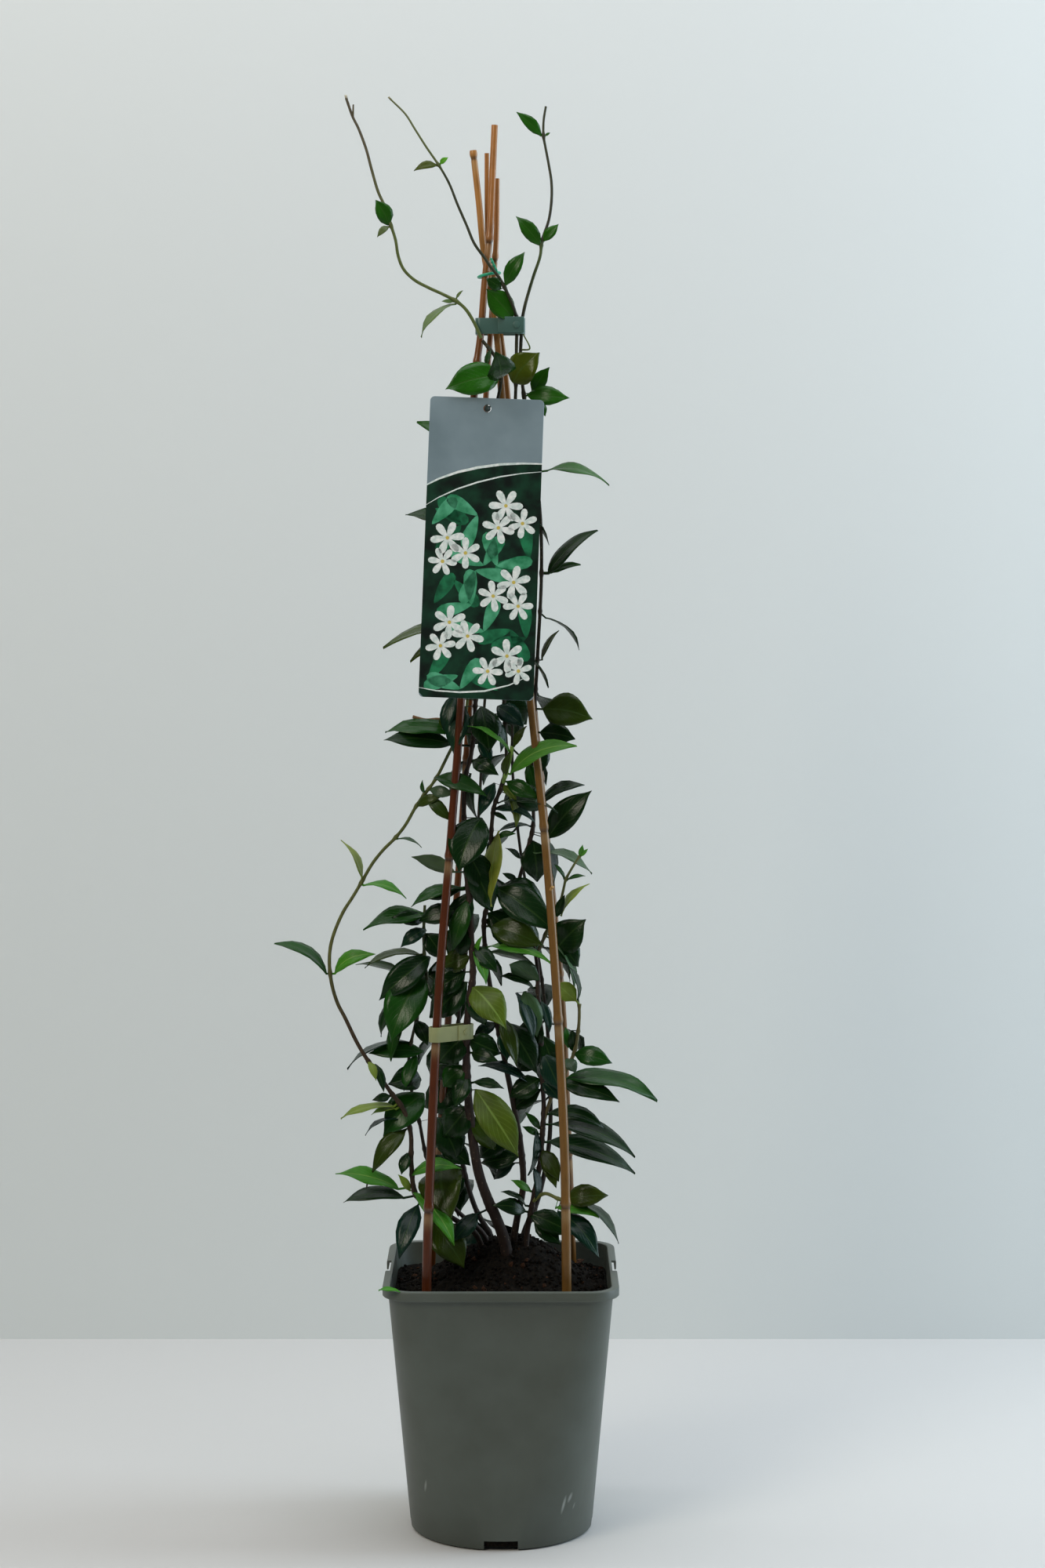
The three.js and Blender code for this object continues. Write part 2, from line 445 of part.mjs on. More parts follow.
// Closed solid from rings of equal count, closed at both ends by a fan to a point
function ringSolid(rings, startPoint, endPoint) {
  const count = rings[0].length;
  const corners = [startPoint, ...rings.flat(), endPoint];
  const last = corners.length - 1;
  const faces = [];
  for (let i = 0; i < count; i += 1) {
    const next = (i + 1) % count;
    faces.push([0, 1 + next, 1 + i]);
    faces.push([last, last - count + i, last - count + next]);
  }
  for (let ring = 0; ring < rings.length - 1; ring += 1) {
    const low = 1 + ring * count;
    const high = low + count;
    for (let i = 0; i < count; i += 1) {
      const next = (i + 1) % count;
      faces.push([low + i, low + next, high + i]);
      faces.push([low + next, high + next, high + i]);
    }
  }
  return solidOf(corners.flatMap((corner) => corner.toArray()), faces.flat());
}

function solidOf(positions, indices) {
  const vertProperties = Float32Array.from(positions);
  const triVerts = Uint32Array.from(indices);
  const solid = new wasm.Manifold(new wasm.Mesh({ numProp: 3, vertProperties, triVerts }));
  if (solid.volume() > 0) return solid;
  const flipped = triVerts.slice();
  for (let i = 0; i < flipped.length; i += 3) {
    flipped[i + 1] = triVerts[i + 2];
    flipped[i + 2] = triVerts[i + 1];
  }
  return new wasm.Manifold(new wasm.Mesh({ numProp: 3, vertProperties, triVerts: flipped }));
}

function solidOfGeometry(geometry) {
  const bare = geometry.clone();
  bare.deleteAttribute('normal');
  bare.deleteAttribute('uv');
  const merged = mergeVertices(bare, 1e-4);
  return solidOf(merged.attributes.position.array, merged.index.array);
}

function geometryOf(solid) {
  const mesh = solid.getMesh();
  const corners = [];
  for (let i = 0; i < mesh.numVert; i += 1) {
    corners.push(new THREE.Vector3().fromArray(mesh.vertProperties, i * mesh.numProp));
  }
  const geometry = new THREE.BufferGeometry().setFromPoints(corners);
  geometry.setIndex(Array.from(mesh.triVerts));
  geometry.computeVertexNormals();
  return geometry;
}

function largestBody(solid) {
  const bodies = solid.decompose();
  return bodies.reduce((best, body) => (body.volume() > best.volume() ? body : best));
}

// A round bar along points. Its radius goes from foot to top, evenly or faster at the foot.
function bar({ points, radius, taper = 1 }, sides, step, grow = 0) {
  const curve = new THREE.CatmullRomCurve3(points.map(([x, z, depth]) => place(x, z, depth)));
  const count = Math.max(3, Math.ceil(curve.getLength() / step));
  const frames = curve.computeFrenetFrames(count, false);
  const rings = [];
  const centres = [];
  for (let i = 0; i <= count; i += 1) {
    const share = i / count;
    const centre = curve.getPointAt(share);
    const size = THREE.MathUtils.lerp(radius[1], radius[0], (1 - share) ** taper) + grow;
    const ring = [];
    for (let k = 0; k < sides; k += 1) {
      const angle = (k / sides) * Math.PI * 2;
      ring.push(centre.clone()
        .addScaledVector(frames.normals[i], Math.cos(angle) * size)
        .addScaledVector(frames.binormals[i], Math.sin(angle) * size));
    }
    rings.push(ring);
    centres.push(centre);
  }
  const start = centres[0].clone().addScaledVector(frames.tangents[0], -grow);
  const end = centres[count].clone().addScaledVector(frames.tangents[count], grow);
  return ringSolid(rings, start, end);
}

// Nearest place on a stem, in front view, and the depth there
function nearestOnStem(name, x, z) {
  const { points } = STEMS[name];
  let best = { gap: Infinity };
  for (let i = 0; i < points.length - 1; i += 1) {
    const [x0, z0, depth0] = points[i];
    const [x1, z1, depth1] = points[i + 1];
    const run = (x1 - x0) ** 2 + (z1 - z0) ** 2;
    const share = THREE.MathUtils.clamp(
      ((x - x0) * (x1 - x0) + (z - z0) * (z1 - z0)) / run, 0.04, 0.96);
    const nearX = x0 + (x1 - x0) * share;
    const nearZ = z0 + (z1 - z0) * share;
    const gap = Math.hypot(x - nearX, z - nearZ);
    if (gap < best.gap) {
      best = { gap, x: nearX, z: nearZ, depth: depth0 + (depth1 - depth0) * share };
    }
  }
  return best;
}

// A leaf read from the front: its midrib, and the way its upper face looks
function leafFromFront([stem, baseX, baseZ, tipX, tipZ, reach, seen, arch, tone]) {
  const joint = nearestOnStem(stem, baseX, baseZ);
  const root = place(joint.x, joint.z, joint.depth);
  const base = place(baseX, baseZ, joint.depth + 0.15 * reach);
  const tip = place(tipX, tipZ, joint.depth + reach);
  const length = base.distanceTo(tip);
  const width = Math.max(Math.abs(seen) * 1.04, LEAF_RATIO * length);
  const along = tip.clone().sub(base).normalize();
  const middle = base.clone().lerp(tip, 0.5);
  const view = EYE.clone().sub(middle).normalize();
  const across = along.clone().cross(view).normalize();
  const facing = across.clone().cross(along);
  const outward = new THREE.Vector3(middle.x, middle.y, 0).normalize();
  const raised = across.clone();
  if (raised.z + 0.3 * raised.dot(outward) < 0) raised.negate();
  const turn = Math.acos(Math.min(1, Math.abs(seen) / width));
  const normal = facing.multiplyScalar(Math.sign(seen) * Math.cos(turn))
    .addScaledVector(raised, Math.sin(turn)).normalize();
  return { stem, root, base, tip, normal, length, width, arch, tone };
}

// A leaf on the far side: it points back and a little down, with its upper face up
function leafAtBack(stem, z, azimuth, length, width) {
  const { points } = STEMS[stem];
  const i = points.findIndex((point, k) => k > 0 && point[1] > z);
  const share = (z - points[i - 1][1]) / (points[i][1] - points[i - 1][1]);
  const [x, , depth] = points[i - 1].map((value, k) => (
    value + (points[i][k] - value) * share));
  const turn = THREE.MathUtils.degToRad(azimuth);
  const droop = THREE.MathUtils.degToRad(BACK_DROOP);
  const along = new THREE.Vector3(
    Math.sin(turn) * Math.cos(droop), Math.cos(turn) * Math.cos(droop), Math.sin(droop));
  const root = place(x, z, depth);
  const base = root.clone().addScaledVector(along, BACK_PETIOLE);
  const tip = base.clone().addScaledVector(along, length);
  const up = new THREE.Vector3(along.x / 2, along.y / 2, 1);
  const normal = up.addScaledVector(along, -up.dot(along)).normalize();
  return { stem, root, base, tip, normal, length, width, arch: BACK_ARCH, tone: 'dark' };
}

function backLeaves() {
  const leaves = [];
  BACK_PAIRS.forEach(([stem, from, to, step, azimuth, length, width]) => {
    for (let z = from, turn = azimuth; z <= to; z += step, turn += BACK_TURN) {
      [turn, turn + BACK_PAIR_ANGLE].forEach((angle) => {
        const wrapped = ((angle + 180) % 360) - 180;
        const slim = 1 - 0.3 * ((z - from) / (to - from));
        if (Math.abs(wrapped) < BACK_LIMIT) {
          leaves.push(leafAtBack(stem, z, wrapped, length * slim, width * slim));
        }
      });
    }
  });
  return leaves;
}

// Blade and stalk are thin, and each ring is one edge, the other edge and the underside of
// the midrib. A grown ring is the space that neighbours keep out of. A stalk that turns back
// under its own blade is joined to it as a second solid.
const LARGE_BLADE = [[0.16, 0.66], [0.45, 1], [0.76, 0.58]];
const SMALL_BLADE = [[0.22, 0.82], [0.64, 0.86]];
const STALK_HALF = 0.75;
const STALK_SINK = 0.2;
const STALK_LAP = 0.5;
const TURNED_BACK = 0.35;

function thinRing(centre, side, normal, reach, grow) {
  const rise = LEAF_THICKNESS / 2;
  const outline = grow > 0
    ? [
      [-reach - grow, rise + grow], [reach + grow, rise + grow], [reach + grow, rise - grow],
      [0, -rise - grow], [-reach - grow, rise - grow],
    ]
    : [[-reach, rise], [reach, rise], [0, -rise]];
  return outline.map(([sideways, up]) => (
    centre.clone().addScaledVector(side, sideways).addScaledVector(normal, up)));
}

function leafSolid(leaf, blade, grow = 0) {
  const { root, base, tip, normal, length, width, arch } = leaf;
  const along = tip.clone().sub(base).normalize();
  const side = along.clone().cross(normal).normalize();
  const rings = [thinRing(base, side, normal, STALK_HALF, grow)];
  blade.forEach(([share, part]) => {
    const centre = base.clone().lerp(tip, share)
      .addScaledVector(normal, arch * length * 4 * share * (1 - share));
    rings.push(thinRing(centre, side, normal, part * width / 2, grow));
  });
  const end = tip.clone().addScaledVector(along, grow * 2);
  const out = base.clone().sub(root).normalize();
  const start = root.clone().addScaledVector(out, -STALK_SINK - grow);
  if (out.dot(along) > TURNED_BACK) {
    rings.unshift(thinRing(root, side, normal, STALK_HALF, grow));
    return ringSolid(rings, start, end);
  }
  const stalkSide = out.clone().cross(normal).normalize();
  const stalkNormal = stalkSide.clone().cross(out);
  const stalkRings = [root, base].map((centre) => (
    thinRing(centre, stalkSide, stalkNormal, STALK_HALF, grow)));
  const stalk = ringSolid(
    stalkRings, start, base.clone().addScaledVector(out, STALK_LAP + grow));
  return ringSolid(rings, base.clone().addScaledVector(along, -STALK_LAP - grow), end).add(stalk);
}

// Outline of a square of half width and corner radius, at a height
const CORNER_STEPS = 5;
function squareRing(half, corner, z) {
  const ring = [];
  const centres = [[1, 1], [-1, 1], [-1, -1], [1, -1]];
  centres.forEach(([signX, signY], quarter) => {
    for (let i = 0; i <= CORNER_STEPS; i += 1) {
      const angle = (quarter + i / CORNER_STEPS) * Math.PI / 2;
      ring.push(new THREE.Vector3(
        signX * (half - corner) + corner * Math.cos(angle),
        signY * (half - corner) + corner * Math.sin(angle), z));
    }
  });
  return ring;
}

// The wall's outer half width and corner radius grow evenly from the round foot to the rim
const WALL_TOP = POT_HEIGHT - RIM_LIP;
function wallSize(z) {
  const share = z / WALL_TOP;
  return [
    THREE.MathUtils.lerp(FOOT_DIAMETER / 2, WALL_TOP_WIDTH / 2, share),
    THREE.MathUtils.lerp(FOOT_DIAMETER / 2 - 0.5, CORNER_RADIUS, share),
  ];
}

function wallRing(z, inset) {
  const [half, corner] = wallSize(z);
  return squareRing(half - inset, corner - inset, z);
}

const NOTCH_LENGTH = 34;
const DRAIN_WIDTH = 26;
const DRAIN_HEIGHT = 7.5;
const DRAIN_HOLE_RADIUS = 5;
const DRAIN_HOLE_CIRCLE = 45;
const FLOOR = 1.8;
const FOOT_ROUND = 2;
const RIM_TOP = 1.6;
const RIM_SKIN = 1.3;
const RIM_EDGE = 1;

function potSolid(grow = 0) {
  const rimHalf = RIM_WIDTH / 2;
  const outerCorner = CORNER_RADIUS + 4;
  const rings = [
    squareRing(FOOT_DIAMETER / 2 - FOOT_ROUND, FOOT_DIAMETER / 2 - FOOT_ROUND - 0.5, -grow),
    wallRing(FOOT_ROUND, -grow),
    wallRing(70, -grow),
    wallRing(135, -grow),
    wallRing(WALL_TOP - 4, -grow),
    wallRing(POT_HEIGHT - RIM_TOP - grow, -grow),
    squareRing(rimHalf - RIM_SKIN - grow, outerCorner - RIM_SKIN, POT_HEIGHT - RIM_TOP - grow),
    squareRing(rimHalf - RIM_SKIN - grow, outerCorner - RIM_SKIN, WALL_TOP - grow),
    squareRing(rimHalf + grow, outerCorner, WALL_TOP - grow),
    squareRing(rimHalf + grow, outerCorner, POT_HEIGHT - RIM_EDGE),
    squareRing(rimHalf - RIM_EDGE, outerCorner - RIM_EDGE, POT_HEIGHT + grow),
    squareRing(
      WALL_TOP_WIDTH / 2 - WALL + RIM_EDGE - grow, CORNER_RADIUS - WALL + RIM_EDGE,
      POT_HEIGHT + grow),
    wallRing(WALL_TOP - 2, WALL + grow),
    wallRing(135, WALL + grow),
    wallRing(70, WALL + grow),
    wallRing(FLOOR + 3 + grow, WALL + grow),
    squareRing(FOOT_DIAMETER / 2 - 5, FOOT_DIAMETER / 2 - 5.5, FLOOR + grow),
  ];
  return ringSolid(
    rings, new THREE.Vector3(0, 0, -grow), new THREE.Vector3(0, 0, FLOOR + grow));
}

function boxSolid(width, depth, height, x, y, z) {
  const geometry = new THREE.BoxGeometry(width, depth, height);
  geometry.translate(x, y, z);
  return solidOfGeometry(geometry);
}

function cutPot() {
  let pot = potSolid();
  const notchDepth = 8;
  const notchX = WALL_TOP_WIDTH / 2 + 0.8 + notchDepth / 2;
  const drainDepth = 14;
  const drainAt = FOOT_DIAMETER / 2 - 2;
  [-1, 1].forEach((sign) => {
    const notch = boxSolid(notchDepth, NOTCH_LENGTH, 20, sign * notchX, 0, POT_HEIGHT);
    const front = boxSolid(
      DRAIN_WIDTH, drainDepth, DRAIN_HEIGHT * 2, 0, sign * drainAt, 0);
    const side = boxSolid(
      drainDepth, DRAIN_WIDTH, DRAIN_HEIGHT * 2, sign * drainAt, 0, 0);
    pot = pot.subtract(notch).subtract(front).subtract(side);
  });
  for (let i = 0; i < 4; i += 1) {
    const angle = (i + 0.5) * Math.PI / 2;
    const hole = new THREE.CylinderGeometry(DRAIN_HOLE_RADIUS, DRAIN_HOLE_RADIUS, 12, 16);
    hole.rotateX(Math.PI / 2);
    hole.translate(
      DRAIN_HOLE_CIRCLE * Math.cos(angle), DRAIN_HOLE_CIRCLE * Math.sin(angle), 0);
    pot = pot.subtract(solidOfGeometry(hole));
  }
  return pot;
}

// Soil: fills the pot to below the rim and is mounded round the stems, towards the back
const MOUND_X = 8;
const MOUND_Y = 14;
const MOUND_SPREAD_X = 60;
const MOUND_SPREAD_Y = 36;
const SOIL_STEPS = [0.86, 0.7, 0.52, 0.34, 0.16];

function soilSolid(grow = 0) {
  const surface = (point, share) => {
    const far = Math.hypot(
      (point.x - MOUND_X) / MOUND_SPREAD_X, (point.y - MOUND_Y) / MOUND_SPREAD_Y);
    const rise = (SOIL_CROWN - SOIL_EDGE) * Math.exp(-far * far) * (1 - share ** 4);
    return SOIL_EDGE + rise + grow;
  };
  const low = FLOOR + GAP;
  const inset = WALL + GAP;
  const rings = [
    squareRing(FOOT_DIAMETER / 2 - 6, FOOT_DIAMETER / 2 - 6.5, low),
    wallRing(FLOOR + 4, inset),
    wallRing(70, inset),
    wallRing(135, inset),
    wallRing(SOIL_EDGE, inset).map((point) => point.setZ(SOIL_EDGE + grow)),
  ];
  const rim = rings[rings.length - 1];
  SOIL_STEPS.forEach((share) => {
    rings.push(rim.map((point) => {
      const inner = new THREE.Vector3(point.x * share, point.y * share, 0);
      return inner.setZ(surface(inner, share));
    }));
  });
  const middle = new THREE.Vector3(0, 0, 0);
  middle.setZ(surface(middle, 0));
  return ringSolid(rings, new THREE.Vector3(0, 0, low), middle);
}

// A flat band bent round what it holds: an outline with rounded corners, extruded upwards
function bandOutline(halfX, halfY, corner, shape) {
  shape.moveTo(halfX, -halfY + corner);
  shape.lineTo(halfX, halfY - corner);
  shape.absarc(halfX - corner, halfY - corner, corner, 0, Math.PI / 2);
  shape.lineTo(-halfX + corner, halfY);
  shape.absarc(-halfX + corner, halfY - corner, corner, Math.PI / 2, Math.PI);
  shape.lineTo(-halfX, -halfY + corner);
  shape.absarc(-halfX + corner, -halfY + corner, corner, Math.PI, Math.PI * 1.5);
  shape.lineTo(halfX - corner, -halfY);
  shape.absarc(halfX - corner, -halfY + corner, corner, Math.PI * 1.5, Math.PI * 2);
  return shape;
}

const BAND = 0.9;
function bandSolid({ halfX, halfY, corner, height, centre, turn }, grow = 0) {
  const shape = bandOutline(halfX + grow, halfY + grow, corner + grow, new THREE.Shape());
  const hole = bandOutline(
    halfX - BAND - grow, halfY - BAND - grow, corner - BAND - grow, new THREE.Path());
  shape.holes.push(hole);
  const geometry = new THREE.ExtrudeGeometry(
    shape, { depth: height + grow * 2, bevelEnabled: false, curveSegments: 3 });
  geometry.translate(0, 0, -height / 2 - grow);
  geometry.rotateZ(turn);
  geometry.translate(centre.x, centre.y, centre.z);
  return solidOfGeometry(geometry);
}

const UPPER_CLIP = {
  halfX: 18.9, halfY: 14, corner: 4, height: 12, centre: place(-0.4, 931.5, 1), turn: 0,
};
const LOWER_CLIP = {
  halfX: 19.2, halfY: 5.4, corner: 5.3, height: 11.5, centre: place(-38.8, 388.5, -33.2), turn: 0.585,
};

// Tie wire: a loop round the four canes with a twisted tail that lies on their front
const TIE = { x: -8.9, depth: 2.4, z: 970.5, halfX: 8, halfDepth: 13.2, tilt: 1.6, radius: 0.9 };
const TIE_TAIL = [[-2.7, 971.4, -5.2], [-3, 972.6, -9.4], [-5.4, 978, -10.8], [-7.6, 983, -10.6]];
function tieSolid(grow = 0) {
  const steps = 20;
  const sides = 6;
  const radius = TIE.radius + grow;
  const centre = place(TIE.x, TIE.z, TIE.depth);
  const loop = [];
  for (let i = 0; i < steps; i += 1) {
    const angle = (i / steps) * Math.PI * 2;
    loop.push(new THREE.Vector3(
      centre.x + TIE.halfX * Math.cos(angle),
      centre.y + TIE.halfDepth * Math.sin(angle),
      centre.z + TIE.tilt * Math.cos(angle)));
  }
  const positions = [];
  const indices = [];
  loop.forEach((point, i) => {
    const out = point.clone().sub(centre).setZ(0).normalize();
    for (let k = 0; k < sides; k += 1) {
      const angle = (k / sides) * Math.PI * 2;
      const corner = point.clone().addScaledVector(out, radius * Math.cos(angle));
      positions.push(corner.x, corner.y, corner.z + radius * Math.sin(angle));
      const next = (k + 1) % sides;
      const ahead = (i + 1) % steps;
      indices.push(i * sides + k, ahead * sides + k, i * sides + next);
      indices.push(i * sides + next, ahead * sides + k, ahead * sides + next);
    }
  });
  const tail = bar({ points: TIE_TAIL, radius: [1.0, 1.2] }, 6, 4, grow);
  return solidOf(positions, indices).add(tail);
}

// Hang tag: a thin plastic sheet with round corners and a hole, leaning out at its foot
const TAG_THICKNESS = 0.8;
const TAG_CORNER = 3.5;
const TAG_HOLE = 3;
const TAG_HOLE_DROP = 8;
const TAG_HOLE_SIDE = 0.4;
const TAG_TOP = place(-10.3, 877.5, -27);
const TAG_LEAN = 0.19;
const TAG_ROLL = 0.037;
function tagSolid(grow = 0) {
  const half = TAG_WIDTH / 2 + grow;
  const shape = bandOutline(half, TAG_HEIGHT / 2 + grow, TAG_CORNER, new THREE.Shape());
  const hole = new THREE.Path();
  hole.absarc(TAG_HOLE_SIDE, TAG_HEIGHT / 2 - TAG_HOLE_DROP, TAG_HOLE - grow, 0, Math.PI * 2);
  shape.holes.push(hole);
  const depth = TAG_THICKNESS + grow * 2;
  const geometry = new THREE.ExtrudeGeometry(
    shape, { depth, bevelEnabled: false, curveSegments: 4 });
  geometry.translate(0, -TAG_HEIGHT / 2, -depth / 2);
  geometry.rotateX(Math.PI / 2);
  geometry.rotateX(-TAG_LEAN);
  geometry.rotateY(TAG_ROLL);
  geometry.translate(TAG_TOP.x, TAG_TOP.y, TAG_TOP.z);
  return solidOfGeometry(geometry);
}

// The tag's tie: round the main stem behind the tag, with its end pushed out through the hole
const TAG_TIE = {
  radius: [0.8, 1.1],
  points: [
    [-7.6, 872.5, -14.5], [-5.6, 873, -11], [-2.6, 873.6, -10.6], [-0.4, 874, -13.6],
    [-1.6, 873.6, -17.2], [-5, 872.6, -19.8], [-8.6, 870.8, -24], [-10.3, 869.4, -28.6],
    [-10.7, 870.6, -31.2], [-10.6, 872.6, -32],
  ],
};

// Build order: hard pieces first, then stems, then leaves. Each is cut clear of those before.
const nodes = [];
const clearances = [];

function addNode(name, solid, color, roughness) {
  const material = new THREE.MeshStandardMaterial({ color, roughness, metalness: 0 });
  const mesh = new THREE.Mesh(geometryOf(solid), material);
  mesh.name = name;
  nodes.push(mesh);
}

function overlapBoxes(a, b) {
  const boxA = a.boundingBox();
  const boxB = b.boundingBox();
  return [0, 1, 2].every((k) => boxA.min[k] < boxB.max[k] && boxB.min[k] < boxA.max[k]);
}

function clearOf(solid, cutters) {
  return cutters.filter((cutter) => overlapBoxes(solid, cutter))
    .reduce((left, cutter) => left.subtract(cutter), solid);
}

const CANE_SIDES = 8;
const CANE_STEP = 85;
const STEM_SIDES = 5;
const STEM_STEP = 25;
const STEM_TAPER = 3;

addNode('pot', cutPot(), '#7d837f', 0.5);
clearances.push(potSolid(GAP));

const canes = Object.entries(CANES).map(([name, cane]) => {
  const color = name.endsWith('left') ? '#8a4a25' : '#b08050';
  addNode(name, bar(cane, CANE_SIDES, CANE_STEP), color, 0.45);
  return bar(cane, CANE_SIDES, CANE_STEP, GAP);
});
clearances.push(...canes);

addNode('tie_wire', tieSolid(), '#3fae8a', 0.4);
addNode('upper_clip', bandSolid(UPPER_CLIP), '#5d7f78', 0.45);
addNode('lower_clip', bandSolid(LOWER_CLIP), '#b5bd8f', 0.5);
addNode('hang_tag', tagSolid(), '#6f7a85', 0.35);
addNode('tag_tie', bar(TAG_TIE, 6, 4), '#24332b', 0.45);
clearances.push(
  tieSolid(GAP), bandSolid(UPPER_CLIP, GAP), bandSolid(LOWER_CLIP, GAP), tagSolid(GAP),
  bar(TAG_TIE, 6, 4, GAP));

const stemNames = Object.keys(STEMS);
const stemBar = (name, grow = 0) => {
  const taper = name.startsWith('stem_') ? STEM_TAPER : 1;
  return bar({ ...STEMS[name], taper }, STEM_SIDES, STEM_STEP, grow);
};
const grownStems = stemNames.map((name) => stemBar(name, GAP));
const stemSolids = stemNames.map((name, i) => largestBody(
  clearOf(stemBar(name), [...clearances, ...grownStems.slice(0, i)])));

const soil = clearOf(soilSolid(), [...canes, ...grownStems]);
addNode('soil', largestBody(soil), '#2c2119', 1);
clearances.push(soilSolid(GAP));

const joinedLeaves = [...JOINED_LEAVES.map(leafFromFront), ...backLeaves()];
const leafClearances = [];
stemNames.forEach((name, i) => {
  const otherStems = grownStems.filter((stem, k) => k !== i);
  let shoot = stemSolids[i];
  const own = [];
  joinedLeaves.filter((leaf) => leaf.stem === name).forEach((leaf) => {
    const blade = clearOf(
      leafSolid(leaf, SMALL_BLADE), [...clearances, ...otherStems, ...leafClearances]);
    shoot = shoot.add(blade);
    own.push(leafSolid(leaf, SMALL_BLADE, GAP));
  });
  leafClearances.push(...own);
  addNode(name, largestBody(shoot), name.startsWith('stem') ? '#4a3326' : '#54622f', 0.7);
});

LARGE_LEAVES.map(leafFromFront).forEach((leaf, i) => {
  const blade = clearOf(
    leafSolid(leaf, LARGE_BLADE), [...clearances, ...grownStems, ...leafClearances]);
  addNode(`leaf_${String(i + 1).padStart(2, '0')}`, largestBody(blade), TONES[leaf.tone], 0.35);
  leafClearances.push(leafSolid(leaf, LARGE_BLADE, GAP));
});

const part = new THREE.Group();
nodes.forEach((node) => part.add(node));

export default part;
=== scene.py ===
# %% [markdown]
# # Potted star jasmine
# A young climber in a square nursery pot: four bamboo canes tied into a pyramid, woody stems
# that wind round them, opposite leaves with drawn-out tips, two plastic bands and a hang tag.
# The exact model is loaded first as a fixed frame. Each piece made here takes the place of one
# of its nodes, with the detail that a solid model leaves out.

import math
import random

import bmesh
import bpy
import numpy as np
from mathutils import Euler, Matrix, Vector, noise


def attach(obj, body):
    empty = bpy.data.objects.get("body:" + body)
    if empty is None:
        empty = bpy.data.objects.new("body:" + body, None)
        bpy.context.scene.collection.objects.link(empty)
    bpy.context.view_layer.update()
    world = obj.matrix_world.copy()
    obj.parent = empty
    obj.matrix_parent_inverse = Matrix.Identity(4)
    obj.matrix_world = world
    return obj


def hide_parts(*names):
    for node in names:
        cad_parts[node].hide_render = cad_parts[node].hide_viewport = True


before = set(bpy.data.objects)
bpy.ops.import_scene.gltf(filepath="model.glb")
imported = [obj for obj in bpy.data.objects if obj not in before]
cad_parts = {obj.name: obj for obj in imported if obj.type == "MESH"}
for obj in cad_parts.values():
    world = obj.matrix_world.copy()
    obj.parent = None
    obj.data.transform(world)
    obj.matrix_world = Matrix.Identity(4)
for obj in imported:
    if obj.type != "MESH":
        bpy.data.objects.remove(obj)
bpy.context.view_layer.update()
MM = 0.001
print("nodes in the frame:", len(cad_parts))

# %% [markdown]
# ## Places on the plant
# The plant is drawn as a gardener would draw it: from the front. A point is read on the upright
# plane through the pot's axis, in millimetres, and then moved along the line of sight to its
# depth behind that plane. So a stem can lean back or forward and still look the same from the
# front. The camera stands at the eye point, looks a little down and has a long lens.

# %% Eye point and camera
EYE = Vector((16.5, -2528, 797)) * MM
LOOK_DOWN = 4.86
LENS = 75.6
FILM_HEIGHT = 36


def place(x, z, depth):
    """A point read in front view, in millimetres, moved to its depth. In metres."""
    reach = 1 - depth * MM / EYE.y
    return Vector((
        EYE.x + (x * MM - EYE.x) * reach,
        depth * MM,
        EYE.z + (z * MM - EYE.z) * reach,
    ))


bpy.ops.object.camera_add(location=EYE, rotation=(math.radians(90 - LOOK_DOWN), 0, 0))
camera = bpy.context.object
camera.data.sensor_fit = "VERTICAL"
camera.data.sensor_height = FILM_HEIGHT
camera.data.lens = LENS
bpy.context.scene.camera = camera
bpy.context.scene.view_settings.view_transform = "Standard"
print("camera at", [round(value, 3) for value in camera.location])

# %% [markdown]
# ## Small tools
# An operator works on everything that is selected, so each piece starts with nothing selected.
# A finished piece has its place in its mesh and its object at the origin, and it rides on the
# one body of the model.

# %% Starting and finishing a piece
def clear_selection():
    bpy.ops.object.select_all(action="DESELECT")


def select_only(pieces):
    clear_selection()
    for piece in pieces:
        piece.select_set(True)
    bpy.context.view_layer.objects.active = pieces[0]


def join(pieces, name):
    """Several pieces as one, in the first one's mesh."""
    select_only(pieces)
    if len(pieces) > 1:
        bpy.ops.object.join()
    piece = bpy.context.object
    piece.name = name
    return piece


def apply_place(piece):
    select_only([piece])
    bpy.ops.object.transform_apply(location=True, rotation=True, scale=True)
    return piece


def apply_modifier(piece, kind, **settings):
    select_only([piece])
    modifier = piece.modifiers.new(kind.title(), kind)
    for key, value in settings.items():
        setattr(modifier, key, value)
    bpy.ops.object.modifier_apply(modifier=modifier.name)
    return piece


def smooth(piece, angle=35):
    select_only([piece])
    bpy.ops.object.shade_smooth_by_angle(angle=math.radians(angle))
    return piece


def finish_piece(piece, nodes, materials=None):
    """Its finish, the nodes that it stands for, and the body that it rides on."""
    if materials:
        piece.data.materials.clear()
        for material in materials:
            piece.data.materials.append(material)
    piece.name = piece.name.replace(" ", "_")
    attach(piece, "root")
    if nodes:
        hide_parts(*nodes)
    print(f"{piece.name}: {len(piece.data.polygons)} faces")
    return piece


# %% [markdown]
# ## Colours and material nodes
# A colour is picked as a hex value, as in a paint program, and turned to the linear values that
# the renderer wants. One function adds a node, sets it and links it. Every material is named
# for what the real surface is.

# %% Colour and node helpers
def linear(code):
    values = [int(code[i:i + 2], 16) / 255 for i in (1, 3, 5)]
    return [v / 12.92 if v <= 0.04045 else ((v + 0.055) / 1.055) ** 2.4 for v in values] + [1.0]


